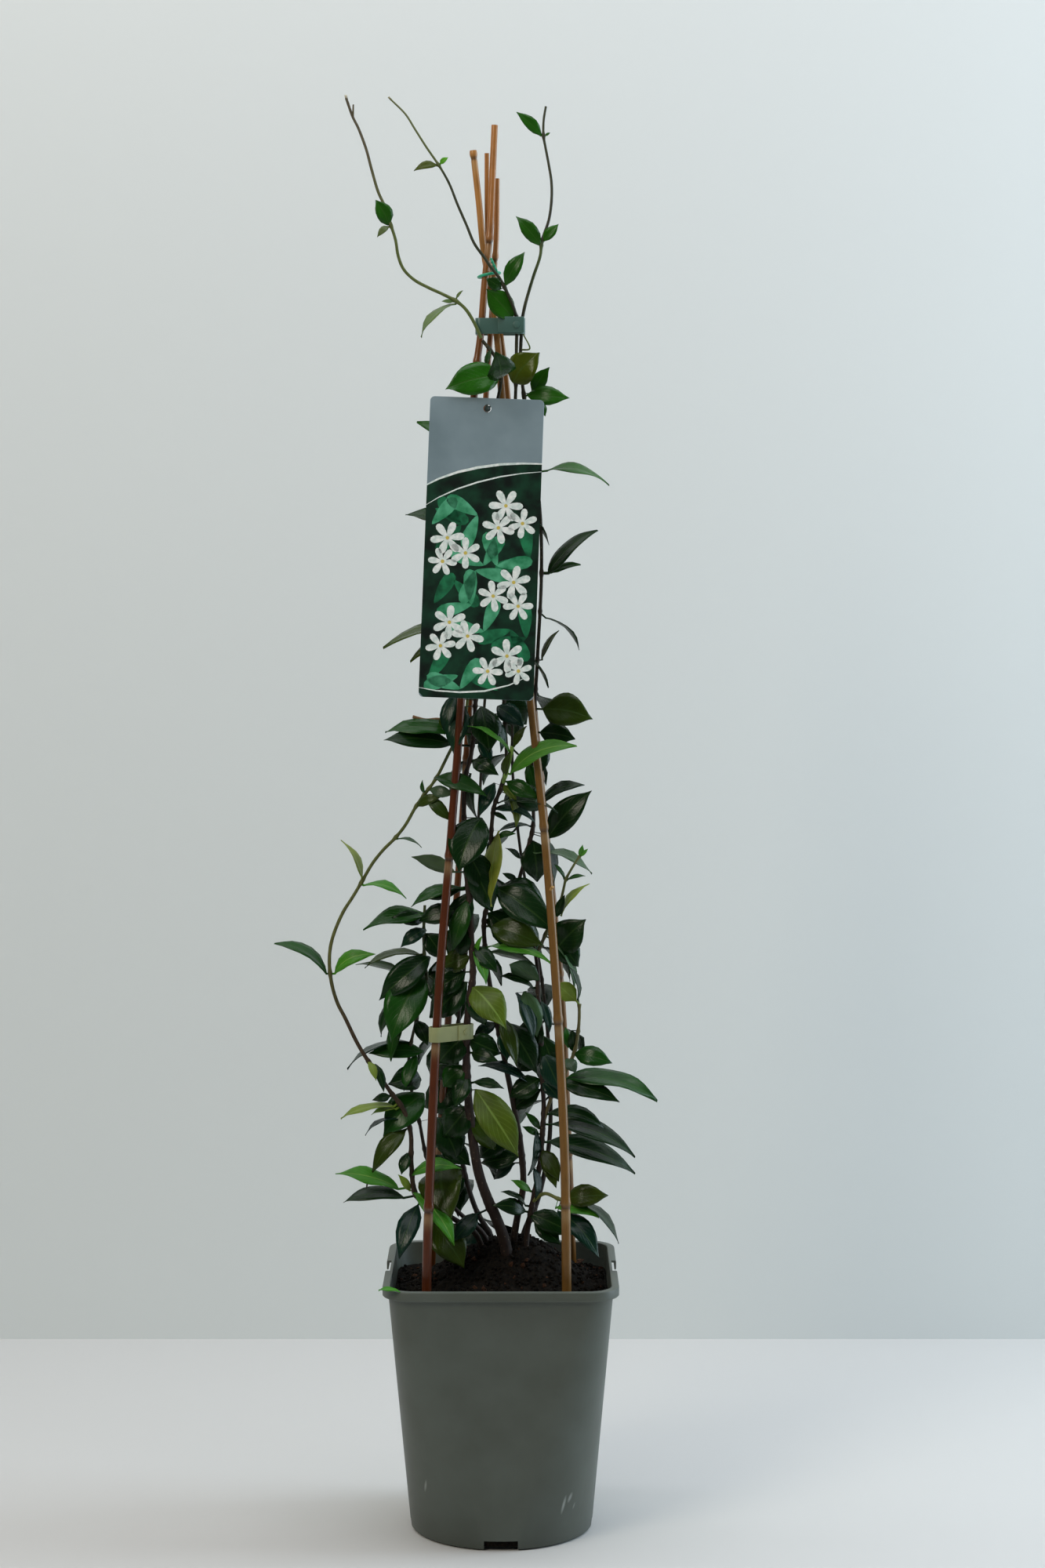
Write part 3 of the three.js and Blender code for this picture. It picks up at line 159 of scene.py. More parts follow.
def add(tree, kind, settings=None, inputs=None):
    """A node with its settings. An input takes a value, a hex colour or another node's output."""
    node = tree.nodes.new(kind)
    for key, value in (settings or {}).items():
        if key == "stops":
            ramp = node.color_ramp
            for i, (position, code) in enumerate(value):
                stop = ramp.elements[i] if i < 2 else ramp.elements.new(position)
                stop.position = position
                stop.color = linear(code)
        else:
            setattr(node, key, value)
    for key, value in (inputs or {}).items():
        socket = node.inputs[key]
        if isinstance(value, bpy.types.NodeSocket):
            tree.links.new(value, socket)
        elif isinstance(value, str):
            socket.default_value = linear(value)
        else:
            socket.default_value = value
    return node


def new_material(name, inputs):
    """A material with one Principled shader, which is returned with its tree."""
    material = bpy.data.materials.new(name)
    material.use_nodes = True
    tree = material.node_tree
    tree.nodes.clear()
    shader = add(tree, "ShaderNodeBsdfPrincipled", None, inputs)
    add(tree, "ShaderNodeOutputMaterial", None, {"Surface": shader.outputs["BSDF"]})
    return material, tree, shader


def connect(tree, shader, **inputs):
    """Links outputs to the shader: base_color, roughness or normal."""
    for key, output in inputs.items():
        tree.links.new(output, shader.inputs[key.replace("_", " ").title()])


# %% [markdown]
# ## The pot
# The pot is moulded polypropylene: a round foot, walls that change evenly into a
# rounded square, and a lip that folds out and down. The whole skin, outside and inside, can be
# drawn as a stack of rounded squares. A square whose corners are rounded as far as they go is
# a circle, so the foot is made in the same way as the rim, and every loop has the same number
# of points. Bridging one loop to the next then gives the even change from round to square.

# %% Lofted pot
POT_HEIGHT = 205
RIM_LIP = 7
WALL_TOP = POT_HEIGHT - RIM_LIP
WALL = 1.6
FOOT_HALF = 71
TOP_HALF = 85.5
TOP_CORNER = 20
CORNER_CUTS = 14
LAST_FLAT = 0.5  # what stays straight between two full corners


def rounded_square(half, corner, z):
    """One loop of edges: a square with its corners rounded, at a height. In millimetres."""
    clear_selection()
    bpy.ops.mesh.primitive_plane_add(size=2 * half * MM, location=(0, 0, z * MM))
    loop = bpy.context.object
    bpy.ops.object.transform_apply(location=True, rotation=False, scale=False)
    bpy.ops.object.mode_set(mode="EDIT")
    bpy.ops.mesh.bevel(
        offset=min(corner, half - LAST_FLAT) * MM, segments=CORNER_CUTS, profile=0.5, affect="VERTICES")
    bpy.ops.mesh.delete(type="ONLY_FACE")
    bpy.ops.object.mode_set(mode="OBJECT")
    return loop


def loft(name, levels):
    """A closed skin through loops of (half width, corner radius, height)."""
    loops = [rounded_square(*level) for level in levels]
    count = len(loops[0].data.vertices)
    piece = join(loops, name)
    bpy.ops.object.mode_set(mode="EDIT")
    bpy.ops.mesh.select_mode(type="EDGE")
    for k in range(len(levels) - 1):
        mesh = bmesh.from_edit_mesh(piece.data)
        low, high = k * count, (k + 2) * count
        for edge in mesh.edges:
            ends = [vertex.index for vertex in edge.verts]
            edge.select = all(low <= end < high for end in ends) and len(edge.link_faces) < 2
            if k > 0 and all(end < low + count for end in ends):
                edge.select = all(end >= low for end in ends)
        bmesh.update_edit_mesh(piece.data)
        bpy.ops.mesh.bridge_edge_loops()
    bpy.ops.mesh.select_mode(type="VERT")
    for first in (0, (len(levels) - 1) * count):
        mesh = bmesh.from_edit_mesh(piece.data)
        for vertex in mesh.verts:
            vertex.select = first <= vertex.index < first + count
        mesh.select_flush(True)
        bmesh.update_edit_mesh(piece.data)
        bpy.ops.mesh.edge_face_add()
    bpy.ops.mesh.select_all(action="SELECT")
    bpy.ops.mesh.normals_make_consistent(inside=False)
    bpy.ops.object.mode_set(mode="OBJECT")
    return piece


def wall(z, inset=0.0):
    """The wall's half width and corner radius at a height, between round foot and square rim."""
    share = z / WALL_TOP
    half = FOOT_HALF + (TOP_HALF - FOOT_HALF) * share
    foot_corner = FOOT_HALF - LAST_FLAT
    corner = foot_corner + (TOP_CORNER - foot_corner) * share
    return half - inset, corner - inset, z


FOOT_RADIUS = 2
LIP_SKIN = 1.3
LIP_HALF = 90
LIP_CORNER = 24
LIP_EDGE = 1.0
FLOOR = 1.8
pot = loft("pot", [
    (FOOT_HALF - FOOT_RADIUS, FOOT_HALF - FOOT_RADIUS - LAST_FLAT, 0),
    wall(0.6, 0.8),
    wall(FOOT_RADIUS),
    wall(70),
    wall(135),
    wall(WALL_TOP - 4),
    wall(POT_HEIGHT - 1.6),
    (LIP_HALF - LIP_SKIN, LIP_CORNER - LIP_SKIN, POT_HEIGHT - 1.7),
    (LIP_HALF - LIP_SKIN, LIP_CORNER - LIP_SKIN, WALL_TOP),
    (LIP_HALF - 0.4, LIP_CORNER - 0.4, WALL_TOP - 0.1),
    (LIP_HALF, LIP_CORNER, WALL_TOP + 0.5),
    (LIP_HALF, LIP_CORNER, POT_HEIGHT - LIP_EDGE),
    (LIP_HALF - 0.3, LIP_CORNER - 0.3, POT_HEIGHT - 0.3),
    (LIP_HALF - LIP_EDGE, LIP_CORNER - LIP_EDGE, POT_HEIGHT),
    (TOP_HALF - WALL + LIP_EDGE, TOP_CORNER - WALL + LIP_EDGE, POT_HEIGHT),
    (TOP_HALF - WALL + 0.3, TOP_CORNER - WALL + 0.3, POT_HEIGHT - 0.5),
    wall(WALL_TOP - 2, WALL),
    wall(135, WALL),
    wall(70, WALL),
    wall(5, WALL),
    (FOOT_HALF - 5, FOOT_HALF - 5 - LAST_FLAT, FLOOR),
])
print("pot height", round(max(v.co.z for v in pot.data.vertices), 4), "m")

# %% [markdown]
# The lip is cut away in the middle of the left and right sides, so that pots can be lifted
# apart, and water leaves through four notches at the foot and four holes in the floor. Each
# opening is a box or a cylinder that a Boolean takes away.

# %% Notches and drain holes
NOTCH_LENGTH = 34
NOTCH_DEPTH = 8
NOTCH_HEIGHT = 20
DRAIN_WIDTH = 26
DRAIN_HEIGHT = 7.5
DRAIN_DEPTH = 14
HOLE_RADIUS = 5
HOLE_CIRCLE = 45


def cut_box(width, depth, height, x, y, z):
    clear_selection()
    bpy.ops.mesh.primitive_cube_add(
        size=1, location=(x * MM, y * MM, z * MM), scale=(width * MM, depth * MM, height * MM))
    return apply_place(bpy.context.object)


def cut_away(piece, cutters):
    """Takes the cutters away from the piece, and removes them."""
    for cutter in cutters:
        apply_modifier(piece, "BOOLEAN", operation="DIFFERENCE", object=cutter, solver="EXACT")
        bpy.data.objects.remove(cutter)


cutters = []
for sign in (-1, 1):
    notch_x = sign * (TOP_HALF + 0.8 + NOTCH_DEPTH / 2)
    cutters.append(cut_box(NOTCH_DEPTH, NOTCH_LENGTH, NOTCH_HEIGHT, notch_x, 0, POT_HEIGHT))
    drain_at = sign * (FOOT_HALF - 2)
    cutters.append(cut_box(DRAIN_WIDTH, DRAIN_DEPTH, 2 * DRAIN_HEIGHT, 0, drain_at, 0))
    cutters.append(cut_box(DRAIN_DEPTH, DRAIN_WIDTH, 2 * DRAIN_HEIGHT, drain_at, 0, 0))
for k in range(4):
    turn = (k + 0.5) * math.pi / 2
    clear_selection()
    bpy.ops.mesh.primitive_cylinder_add(
        vertices=24, radius=HOLE_RADIUS * MM, depth=12 * MM,
        location=(HOLE_CIRCLE * MM * math.cos(turn), HOLE_CIRCLE * MM * math.sin(turn), 0))
    cutters.append(apply_place(bpy.context.object))
cut_away(pot, cutters)
smooth(pot, 28)

# %% [markdown]
# **Moulded polypropylene.** Grey nursery pots are recycled plastic with a satin skin: the
# light slides over it softly, the grey is a little uneven, and the mould leaves a faint grain.
# Handling leaves a few pale scuffs near the foot. The grain is really about 0.2 mm; it is drawn
# at 0.7 mm so that it shows.

# %% Pot material
POT_GREY = "#545b54"
POT_GREY_DARK = "#4d534b"
GRAIN_MM = 0.7
SCUFFS = [
    # x, z, half width, half height, tilt in degrees, on the front wall
    (-58, 46, 1.4, 8, 6),
    (-66, 31, 0.9, 4, -10),
    (48, 33, 1.5, 10, 14),
    (53, 38, 1.8, 6, 22),
    (56, 30, 1.2, 5, 18),
]
pot_plastic, tree, shader = new_material("moulded grey polypropylene", {
    "Roughness": 0.46, "Specular IOR Level": 0.45})
where = add(tree, "ShaderNodeTexCoord").outputs["Object"]
clouds = add(tree, "ShaderNodeTexNoise", None, {"Vector": where, "Scale": 26.0, "Detail": 4.0})
grey = add(tree, "ShaderNodeValToRGB", {"stops": [(0.32, POT_GREY_DARK), (0.68, POT_GREY)]}, {
    "Fac": clouds.outputs["Fac"]}).outputs["Color"]
for x, z, half_width, half_height, tilt in SCUFFS:
    local = add(tree, "ShaderNodeMapping", {"vector_type": "TEXTURE"}, {
        "Vector": where,
        "Location": (x * MM, -(FOOT_HALF + 5) * MM, z * MM),
        "Rotation": (0, math.radians(tilt), 0),
        "Scale": (half_width * MM, 0.03, half_height * MM)})
    reach = add(tree, "ShaderNodeVectorMath", {"operation": "LENGTH"}, {
        "Vector": local.outputs["Vector"]})
    mask = add(tree, "ShaderNodeMapRange", None, {
        "Value": reach.outputs["Value"], "From Min": 1.0, "From Max": 0.2, "To Max": 0.75})
    grey = add(tree, "ShaderNodeMix", {"data_type": "RGBA"}, {
        0: mask.outputs["Result"], 6: grey, 7: "#c4cbc6"}).outputs[2]
grain = add(tree, "ShaderNodeTexNoise", None, {
    "Vector": where, "Scale": 1 / (GRAIN_MM * MM), "Detail": 1.0})
bump = add(tree, "ShaderNodeBump", None, {
    "Strength": 0.12, "Distance": 0.0002, "Height": grain.outputs["Fac"]})
connect(tree, shader, base_color=grey, normal=bump.outputs["Normal"])
finish_piece(pot, ["pot"], [pot_plastic])

# %% [markdown]
# ## The potting soil
# The soil is a dark, coarse mix that stands a little below the lip and is mounded round the
# root ball behind the canes. Its surface is a grid, drawn out from a square to the rounded
# square of the pot, then lifted to the mound and roughened. The skirt goes down to the floor of
# the pot. Grains, bark chips and perlite are each modelled once and strewn over it.

# %% Soil body
SOIL_EDGE = 187
SOIL_CROWN = 226
MOUND_CENTRE = (8, 14)
MOUND_SPREAD = (60, 36)
SOIL_GAP = 0.4
SOIL_CELLS = 96
LUMPS_MM = 5.0
LUMP_HEIGHT = 2.4


def soil_height(x, y, share):
    """Height in millimetres. The share runs from 0 in the middle to 1 at the wall."""
    aside = (x - MOUND_CENTRE[0]) / MOUND_SPREAD[0]
    behind = (y - MOUND_CENTRE[1]) / MOUND_SPREAD[1]
    mound = math.exp(-(aside ** 2 + behind ** 2)) * (1 - share ** 4)
    return SOIL_EDGE + (SOIL_CROWN - SOIL_EDGE) * mound


def soil_edge(z):
    half, corner, _ = wall(z, WALL + SOIL_GAP)
    return half, corner


def edge_reach(x, y, half, corner):
    """How far the rounded square reaches in the direction of a point, in millimetres."""
    long, short = max(abs(x), abs(y)), min(abs(x), abs(y))
    if long == 0:
        return half
    straight = half * math.hypot(long, short) / long
    if short / long * half <= half - corner:
        return straight
    centre = half - corner
    turn = math.atan2(short, long)
    along = centre * (math.cos(turn) + math.sin(turn))
    beside = centre * (math.cos(turn) - math.sin(turn))
    return along + math.sqrt(corner ** 2 - beside ** 2)


def on_soil(x, y):
    """The surface point at a place inside the pot, in metres."""
    half, corner = soil_edge(SOIL_EDGE)
    share = min(1.0, math.hypot(x, y) / edge_reach(x, y, half, corner))
    return Vector((x, y, soil_height(x, y, share))) * MM


clear_selection()
bpy.ops.mesh.primitive_grid_add(x_subdivisions=SOIL_CELLS, y_subdivisions=SOIL_CELLS, size=2)
soil = bpy.context.object
soil.name = "potting soil"
half, corner = soil_edge(SOIL_EDGE)
for vertex in soil.data.vertices:
    x, y = vertex.co.x, vertex.co.y
    share = max(abs(x), abs(y))
    reach = share * edge_reach(x, y, half, corner)
    length = max(math.hypot(x, y), 1e-6)
    x, y = x / length * reach, y / length * reach
    rough = noise.fractal(Vector((x, y, 3.0)) / LUMPS_MM, 0.7, 2.0, 3)
    calm = min(1.0, (1 - share) * 12)
    z = soil_height(x, y, share) + LUMP_HEIGHT * rough * (0.25 + 0.75 * calm)
    vertex.co = (x * MM, y * MM, z * MM)

select_only([soil])
bpy.ops.object.mode_set(mode="EDIT")
bpy.ops.mesh.select_mode(type="EDGE")
bpy.ops.mesh.select_all(action="SELECT")
bpy.ops.mesh.region_to_loop()
bpy.ops.mesh.extrude_edges_move(TRANSFORM_OT_translate={
    "value": (0, 0, -(SOIL_EDGE - FLOOR - 3) * MM)})
foot_half = soil_edge(FLOOR + 3)[0]
bpy.ops.transform.resize(
    value=(foot_half / half, foot_half / half, 0), center_override=(0, 0, (FLOOR + 1) * MM))
bpy.ops.mesh.select_mode(type="VERT")
mesh = bmesh.from_edit_mesh(soil.data)
for vertex in mesh.verts:
    if vertex.select:
        reach = math.hypot(vertex.co.x, vertex.co.y)
        round_reach = min(reach, foot_half * MM)
        vertex.co.x *= round_reach / reach
        vertex.co.y *= round_reach / reach
bmesh.update_edit_mesh(soil.data)
bpy.ops.mesh.edge_face_add()
bpy.ops.mesh.select_all(action="SELECT")
bpy.ops.mesh.normals_make_consistent(inside=False)
bpy.ops.object.mode_set(mode="OBJECT")
smooth(soil, 60)
print("soil rises to", round(max(v.co.z for v in soil.data.vertices), 4), "m")

# %% [markdown]
# **Moist peat mix with bark and perlite.** Wet peat is nearly black and hardly shines, with
# brown fibres in it. Bark chips are a warmer brown, perlite is a white, foamed glass. The
# grains that lie on top are one to three millimetres wide.

# %% Soil materials and grains
PEAT_MM = 2.2
SPRINKLE = 20240


def grained(name, dark, light, size_mm, roughness):
    """A dull material whose colour changes in small grains."""
    material, tree, shader = new_material(name, {
        "Roughness": roughness, "Specular IOR Level": 0.12})
    where = add(tree, "ShaderNodeTexCoord").outputs["Object"]
    grains = add(tree, "ShaderNodeTexNoise", None, {
        "Vector": where, "Scale": 1 / (size_mm * MM), "Detail": 5.0})
    colour = add(tree, "ShaderNodeValToRGB", {"stops": [(0.36, dark), (0.66, light)]}, {
        "Fac": grains.outputs["Fac"]})
    bump = add(tree, "ShaderNodeBump", None, {
        "Strength": 0.7, "Distance": 0.0012, "Height": grains.outputs["Fac"]})
    connect(tree, shader, base_color=colour.outputs["Color"], normal=bump.outputs["Normal"])
    return material


peat = grained("moist peat mix", "#070605", "#1a150f", PEAT_MM, 0.92)
bark_chip = grained("bark chips", "#1f140d", "#4a3020", 1.5, 0.85)
perlite = grained("perlite", "#b9b6ac", "#e6e3da", 0.8, 0.8)
moss_bit = grained("dried yellow leaf bits", "#8a7a35", "#b8a24c", 0.9, 0.75)


def strew(name, count, size, flat, seed, spots=None):
    """Copies of one rough stone, laid on the soil at random turns and sizes."""
    dice = random.Random(seed)
    clear_selection()
    bpy.ops.mesh.primitive_ico_sphere_add(subdivisions=1, radius=1)
    model = bpy.context.object
    for vertex in model.data.vertices:
        vertex.co *= dice.uniform(0.75, 1.15)
    vertices = np.array([vertex.co[:] for vertex in model.data.vertices])
    faces = np.array([polygon.vertices[:] for polygon in model.data.polygons])
    bpy.data.objects.remove(model)
    points, corners = [], []
    for k in range(count):
        if spots:
            x, y = spots[k][:2]
            grain = spots[k][2]
        else:
            while True:
                x, y = dice.uniform(-82, 82), dice.uniform(-82, 82)
                if math.hypot(x, y) < edge_reach(x, y, half - 2, corner - 2):
                    break
            grain = size * dice.uniform(0.45, 1.3)
        turn = Euler([dice.uniform(0, 6.28) for _ in range(3)]).to_matrix()
        scale = Matrix.Diagonal((grain * MM, grain * 0.7 * MM, grain * flat * MM))
        matrix = np.array(turn @ scale)
        corners.append(faces + len(points) * len(vertices))
        points.append(vertices @ matrix.T + np.array(on_soil(x, y) + Vector((0, 0, 0.4 * MM))))
    mesh = bpy.data.meshes.new(name)
    mesh.from_pydata(np.concatenate(points).tolist(), [], np.concatenate(corners).tolist())
    piece = bpy.data.objects.new(name, mesh)
    bpy.context.collection.objects.link(piece)
    return piece


finish_piece(soil, ["soil"], [peat])
finish_piece(strew("peat crumbs", 1500, 1.7, 0.8, SPRINKLE), [], [peat])
finish_piece(strew("bark chips", 95, 3.0, 0.4, SPRINKLE + 1), [], [bark_chip])
PERLITE_SPOTS = [
    # x, y, size
    (13, -46, 1.3), (2, -74, 0.9), (-15, -80, 1.0), (-40, -62, 0.8), (36, -70, 0.7),
    (52, -40, 0.9), (-60, -30, 0.8), (28, 50, 1.0), (-30, 62, 0.9), (64, 30, 0.8),
]
finish_piece(
    strew("perlite", len(PERLITE_SPOTS), 1, 0.9, SPRINKLE + 2, PERLITE_SPOTS),
    [], [perlite])
finish_piece(
    strew("yellow bits", 2, 1, 0.35, SPRINKLE + 3, [(18, -78, 1.5), (-72, -66, 1.2)]),
    [], [moss_bit])

# %% [markdown]
# ## Canes, stems and wire
# Everything long and round is a curve with a round section: a cane, a stem, a wire. The curve
# starts as a Bézier primitive whose spline is exchanged for the piece's own line. Each point
# has its own radius, so a cane can taper and swell at its nodes. Turned into a mesh, every
# point also keeps a colour from along the line.

# %% Tubes along a line
def centripetal(points, step):
    """A smooth line through the points, sampled about every step metres."""
    path = [Vector(point) for point in points]
    path = [2 * path[0] - path[1]] + path + [2 * path[-1] - path[-2]]
    line = []
    for k in range(1, len(path) - 2):
        p0, p1, p2, p3 = path[k - 1:k + 3]
        gaps = [max((b - a).length, 1e-7) ** 0.5 for a, b in ((p0, p1), (p1, p2), (p2, p3))]
        t0, t1 = 0, gaps[0]
        t2, t3 = t1 + gaps[1], t1 + gaps[1] + gaps[2]
        count = max(2, int((p2 - p1).length / step))
        for i in range(count):
            t = t1 + (t2 - t1) * i / count
            a1 = p0 * ((t1 - t) / (t1 - t0)) + p1 * ((t - t0) / (t1 - t0))
            a2 = p1 * ((t2 - t) / (t2 - t1)) + p2 * ((t - t1) / (t2 - t1))
            a3 = p2 * ((t3 - t) / (t3 - t2)) + p3 * ((t - t2) / (t3 - t2))
            b1 = a1 * ((t2 - t) / (t2 - t0)) + a2 * ((t - t0) / (t2 - t0))
            b2 = a2 * ((t3 - t) / (t3 - t1)) + a3 * ((t - t1) / (t3 - t1))
            line.append(b1 * ((t2 - t) / (t2 - t1)) + b2 * ((t - t1) / (t2 - t1)))
    line.append(path[-2].copy())
    return line


def tube(name, line, radii, tones=None, sides=12):
    """A round skin along a line, with its ends closed. Radii in metres, tones as linear colours."""
    clear_selection()
    bpy.ops.curve.primitive_bezier_curve_add()
    piece = bpy.context.object
    piece.name = name
    curve = piece.data
    curve.splines.clear()
    spline = curve.splines.new("POLY")
    spline.points.add(len(line) - 1)
    for point, place_, radius in zip(spline.points, line, radii):
        point.co = (*place_, 1)
        point.radius = radius
    curve.dimensions = "3D"
    curve.twist_mode = "MINIMUM"
    curve.bevel_depth = 1
    curve.bevel_resolution = max(0, sides // 2 - 2)
    curve.use_fill_caps = True
    bpy.ops.object.convert(target="MESH")
    piece = bpy.context.object
    mesh = piece.data
    bpy.ops.object.mode_set(mode="EDIT")
    bpy.ops.mesh.select_all(action="SELECT")
    bpy.ops.mesh.remove_doubles(threshold=1e-6)
    bpy.ops.mesh.normals_make_consistent(inside=False)
    bpy.ops.object.mode_set(mode="OBJECT")
    if tones:
        path = np.array([point[:] for point in line])
        colours = np.array(tones)
        places = np.empty(len(mesh.vertices) * 3)
        mesh.vertices.foreach_get("co", places)
        places = places.reshape(-1, 3)
        nearest = np.empty(len(places), int)
        for start in range(0, len(places), 2000):
            gap = ((places[start:start + 2000, None] - path[None]) ** 2).sum(2)
            nearest[start:start + 2000] = gap.argmin(1)
        attribute = mesh.color_attributes.new("tone", "FLOAT_COLOR", "POINT")
        attribute.data.foreach_set("color", colours[nearest].ravel())
    return piece


def blend(first, second, share):
    a, b = linear(first), linear(second)
    share = min(1, max(0, share))
    return [p + (q - p) * share for p, q in zip(a, b)]


# %% [markdown]
# ## Bamboo canes
# Four split-free canes stand in the corners of the root ball and lean together. A bamboo cane
# has a ridge and a thin scar at every node, about a hand apart, where a leaf sheath sat. Two
# canes are older and reddish brown, two are tan. The lines are those of the exact model.

# %% Cane lines
NODE_SWELL = 0.55
PALE_TOP = 240
CANES = {
    "cane_front_left": {
        "radius": (3.8, 2.5),
        "points": [
            (-58.7, 74, -58), (-58.5, 183, -55), (-54.5, 300, -47), (-48, 425, -38), (-38.2, 548, -29),
            (-31, 643, -23), (-19.5, 893, -9), (-15.5, 925, -7), (-12.2, 965, -6), (-8.5, 1000, -4.5),
            (-6.5, 1040, -2), (-4.6, 1083, 0),
        ],
    },
    "cane_front_right": {
        "radius": (3.8, 2.4),
        "points": [
            (52, 74, -58), (51, 183, -55), (49, 300, -46), (42.5, 425, -37), (33.1, 548, -28),
            (22.8, 646, -21), (-0.5, 893, -3), (-2.5, 920, -1.5), (-8.5, 962, 0.6), (-13.4, 992, 2.5),
            (-16.5, 1024, 4), (-21, 1064, 6),
        ],
    },
    "cane_back_left": {
        "radius": (3.2, 2.0),
        "points": [
            (-55.6, 105, 57), (-55.5, 183, 54), (-41, 400, 39), (-24, 645, 22), (-10.5, 893, 8),
            (-8, 925, 6.8), (-5.2, 970, 5.8), (-3.4, 1000, 6), (-2.8, 1043, 7),
        ],
    },
    "cane_back_right": {
        "radius": (3.2, 1.8),
        "points": [
            (55.8, 105, 57), (56, 183, 54), (50.5, 340, 42), (47, 415, 36), (25, 646, 22), (4, 893, 11),
            (0, 925, 11), (-8.6, 975, 11.4), (-10.2, 1005, 10.8), (-10.5, 1062, 9),
        ],
    },
}
CANE_COLOURS = {
    # skin, node scar, tip
    "cane_front_left": ("#56270c", "#220f07", "#b97c42"),
    "cane_back_left": ("#653712", "#2c170b", "#b97e48"),
    "cane_front_right": ("#775424", "#3c2610", "#bb8242"),
    "cane_back_right": ("#744d1e", "#3c2610", "#b57a3e"),
}
CANE_NODES = {
    # heights of the nodes
    "cane_front_left": (118, 262, 392, 530, 668, 800, 905, 998),
    "cane_front_right": (142, 265, 405, 552, 690, 838, 960, 1062),
    "cane_back_left": (160, 300, 452, 600, 735, 862, 985),
    "cane_back_right": (130, 285, 430, 585, 722, 850, 978),
}


def cane_radius(z, share, foot, tip, heights):
    """Radius in millimetres: an even taper, a ridge at each node and a scar just below it."""
    radius = foot + (tip - foot) * share
    for height in heights:
        radius += NODE_SWELL * math.exp(-(((z - height) / 2.6) ** 2))
        radius -= 0.3 * math.exp(-(((z - height + 3.6) / 1.1) ** 2))
    return radius


def cane_tone(z, heights, skin, scar, tip, top):
    """Pale at the cut tip, dark in the scar, a wax bloom just under each node."""
    tone = blend(skin, tip, (z - top + PALE_TOP) / PALE_TOP)
    nearest = min((z - height for height in heights), key=abs)
    dark = linear(scar)
    bloom = linear("#b39a72")
    scarred = math.exp(-(((nearest + 3.4) / 1.5) ** 2))
    waxed = 0.35 * math.exp(-(((nearest + 9) / 6) ** 2))
    tone = [a + (b - a) * waxed for a, b in zip(tone, bloom)]
    return [a + (b - a) * 0.8 * scarred for a, b in zip(tone, dark)]


def make_cane(name):
    cane = CANES[name]
    line = centripetal([place(*point) for point in cane["points"]], 1.3 * MM)
    skin, scar, tip = CANE_COLOURS[name]
    heights = CANE_NODES[name]
    top = line[-1].z / MM
    radii, tones = [], []
    for k, point in enumerate(line):
        z = point.z / MM
        share = k / (len(line) - 1)
        radii.append(cane_radius(z, share, *cane["radius"], heights) * MM)
        tones.append(cane_tone(z, heights, skin, scar, tip, top))
    return tube(name, line, radii, tones, sides=20)


canes = {name: make_cane(name) for name in CANES}
for name, cane in canes.items():
    smooth(cane, 50)
print("canes reach", round(max(v.co.z for v in canes["cane_front_left"].data.vertices), 4), "m")

# %% [markdown]
# **Varnish-smooth bamboo.** Bamboo's own skin is hard and waxy, full of silica, so a cane
# gives a sharp, narrow streak of light down its length. Under the skin run fine fibres, about
# a third of a millimetre wide and very long: a noise that is stretched along Z.

# %% Bamboo material
FIBRE_MM = 0.7
FIBRE_LENGTH_MM = 60


def bamboo(name, roughness, streak):
    material, tree, shader = new_material(name, {
        "Roughness": roughness, "Specular IOR Level": 0.35, "Coat Weight": 0.25,
        "Coat Roughness": 0.14})
    where = add(tree, "ShaderNodeTexCoord").outputs["Object"]
    drawn_out = add(tree, "ShaderNodeMapping", None, {
        "Vector": where, "Scale": (1 / (FIBRE_MM * MM), 1 / (FIBRE_MM * MM), 1 / (FIBRE_LENGTH_MM * MM))})
    fibres = add(tree, "ShaderNodeTexNoise", None, {
        "Vector": drawn_out.outputs["Vector"], "Scale": 1.0, "Detail": 4.0})
    patches = add(tree, "ShaderNodeTexNoise", None, {"Vector": where, "Scale": 40.0, "Detail": 3.0})
    tone = add(tree, "ShaderNodeVertexColor", {"layer_name": "tone"}).outputs["Color"]
    darker = add(tree, "ShaderNodeHueSaturation", None, {"Value": 0.55, "Color": tone}).outputs["Color"]
    fibre_share = add(tree, "ShaderNodeMapRange", None, {
        "Value": fibres.outputs["Fac"], "From Min": 0.45, "From Max": 0.7, "To Max": streak})
    streaked = add(tree, "ShaderNodeMix", {"data_type": "RGBA"}, {
        0: fibre_share.outputs["Result"], 6: tone, 7: darker})
    patch_share = add(tree, "ShaderNodeMapRange", None, {
        "Value": patches.outputs["Fac"], "From Min": 0.5, "From Max": 0.75, "To Max": streak})
    mottled = add(tree, "ShaderNodeMix", {"data_type": "RGBA"}, {
        0: patch_share.outputs["Result"], 6: streaked.outputs[2], 7: darker})
    bump = add(tree, "ShaderNodeBump", None, {
        "Strength": 0.15, "Distance": 0.0003, "Height": fibres.outputs["Fac"]})
    connect(tree, shader, base_color=mottled.outputs[2], normal=bump.outputs["Normal"])
    return material


bamboo_brown = bamboo("reddish brown bamboo skin", 0.3, 0.55)
bamboo_tan = bamboo("tan bamboo skin", 0.38, 0.4)
for name, cane in canes.items():
    brown = name.endswith("left")
    finish_piece(
        cane, [name],
        [bamboo_brown if brown else bamboo_tan])

# %% [markdown]
# ## Tie wire and bands
# Near the top a loop of green coated wire is twisted shut in front. Two flat plastic bands hold
# canes and stems: a strap that is bent round and buttoned to itself, so its end stands a little
# off the loop. The loop of the wire is a torus whose ring is pressed to an oval.

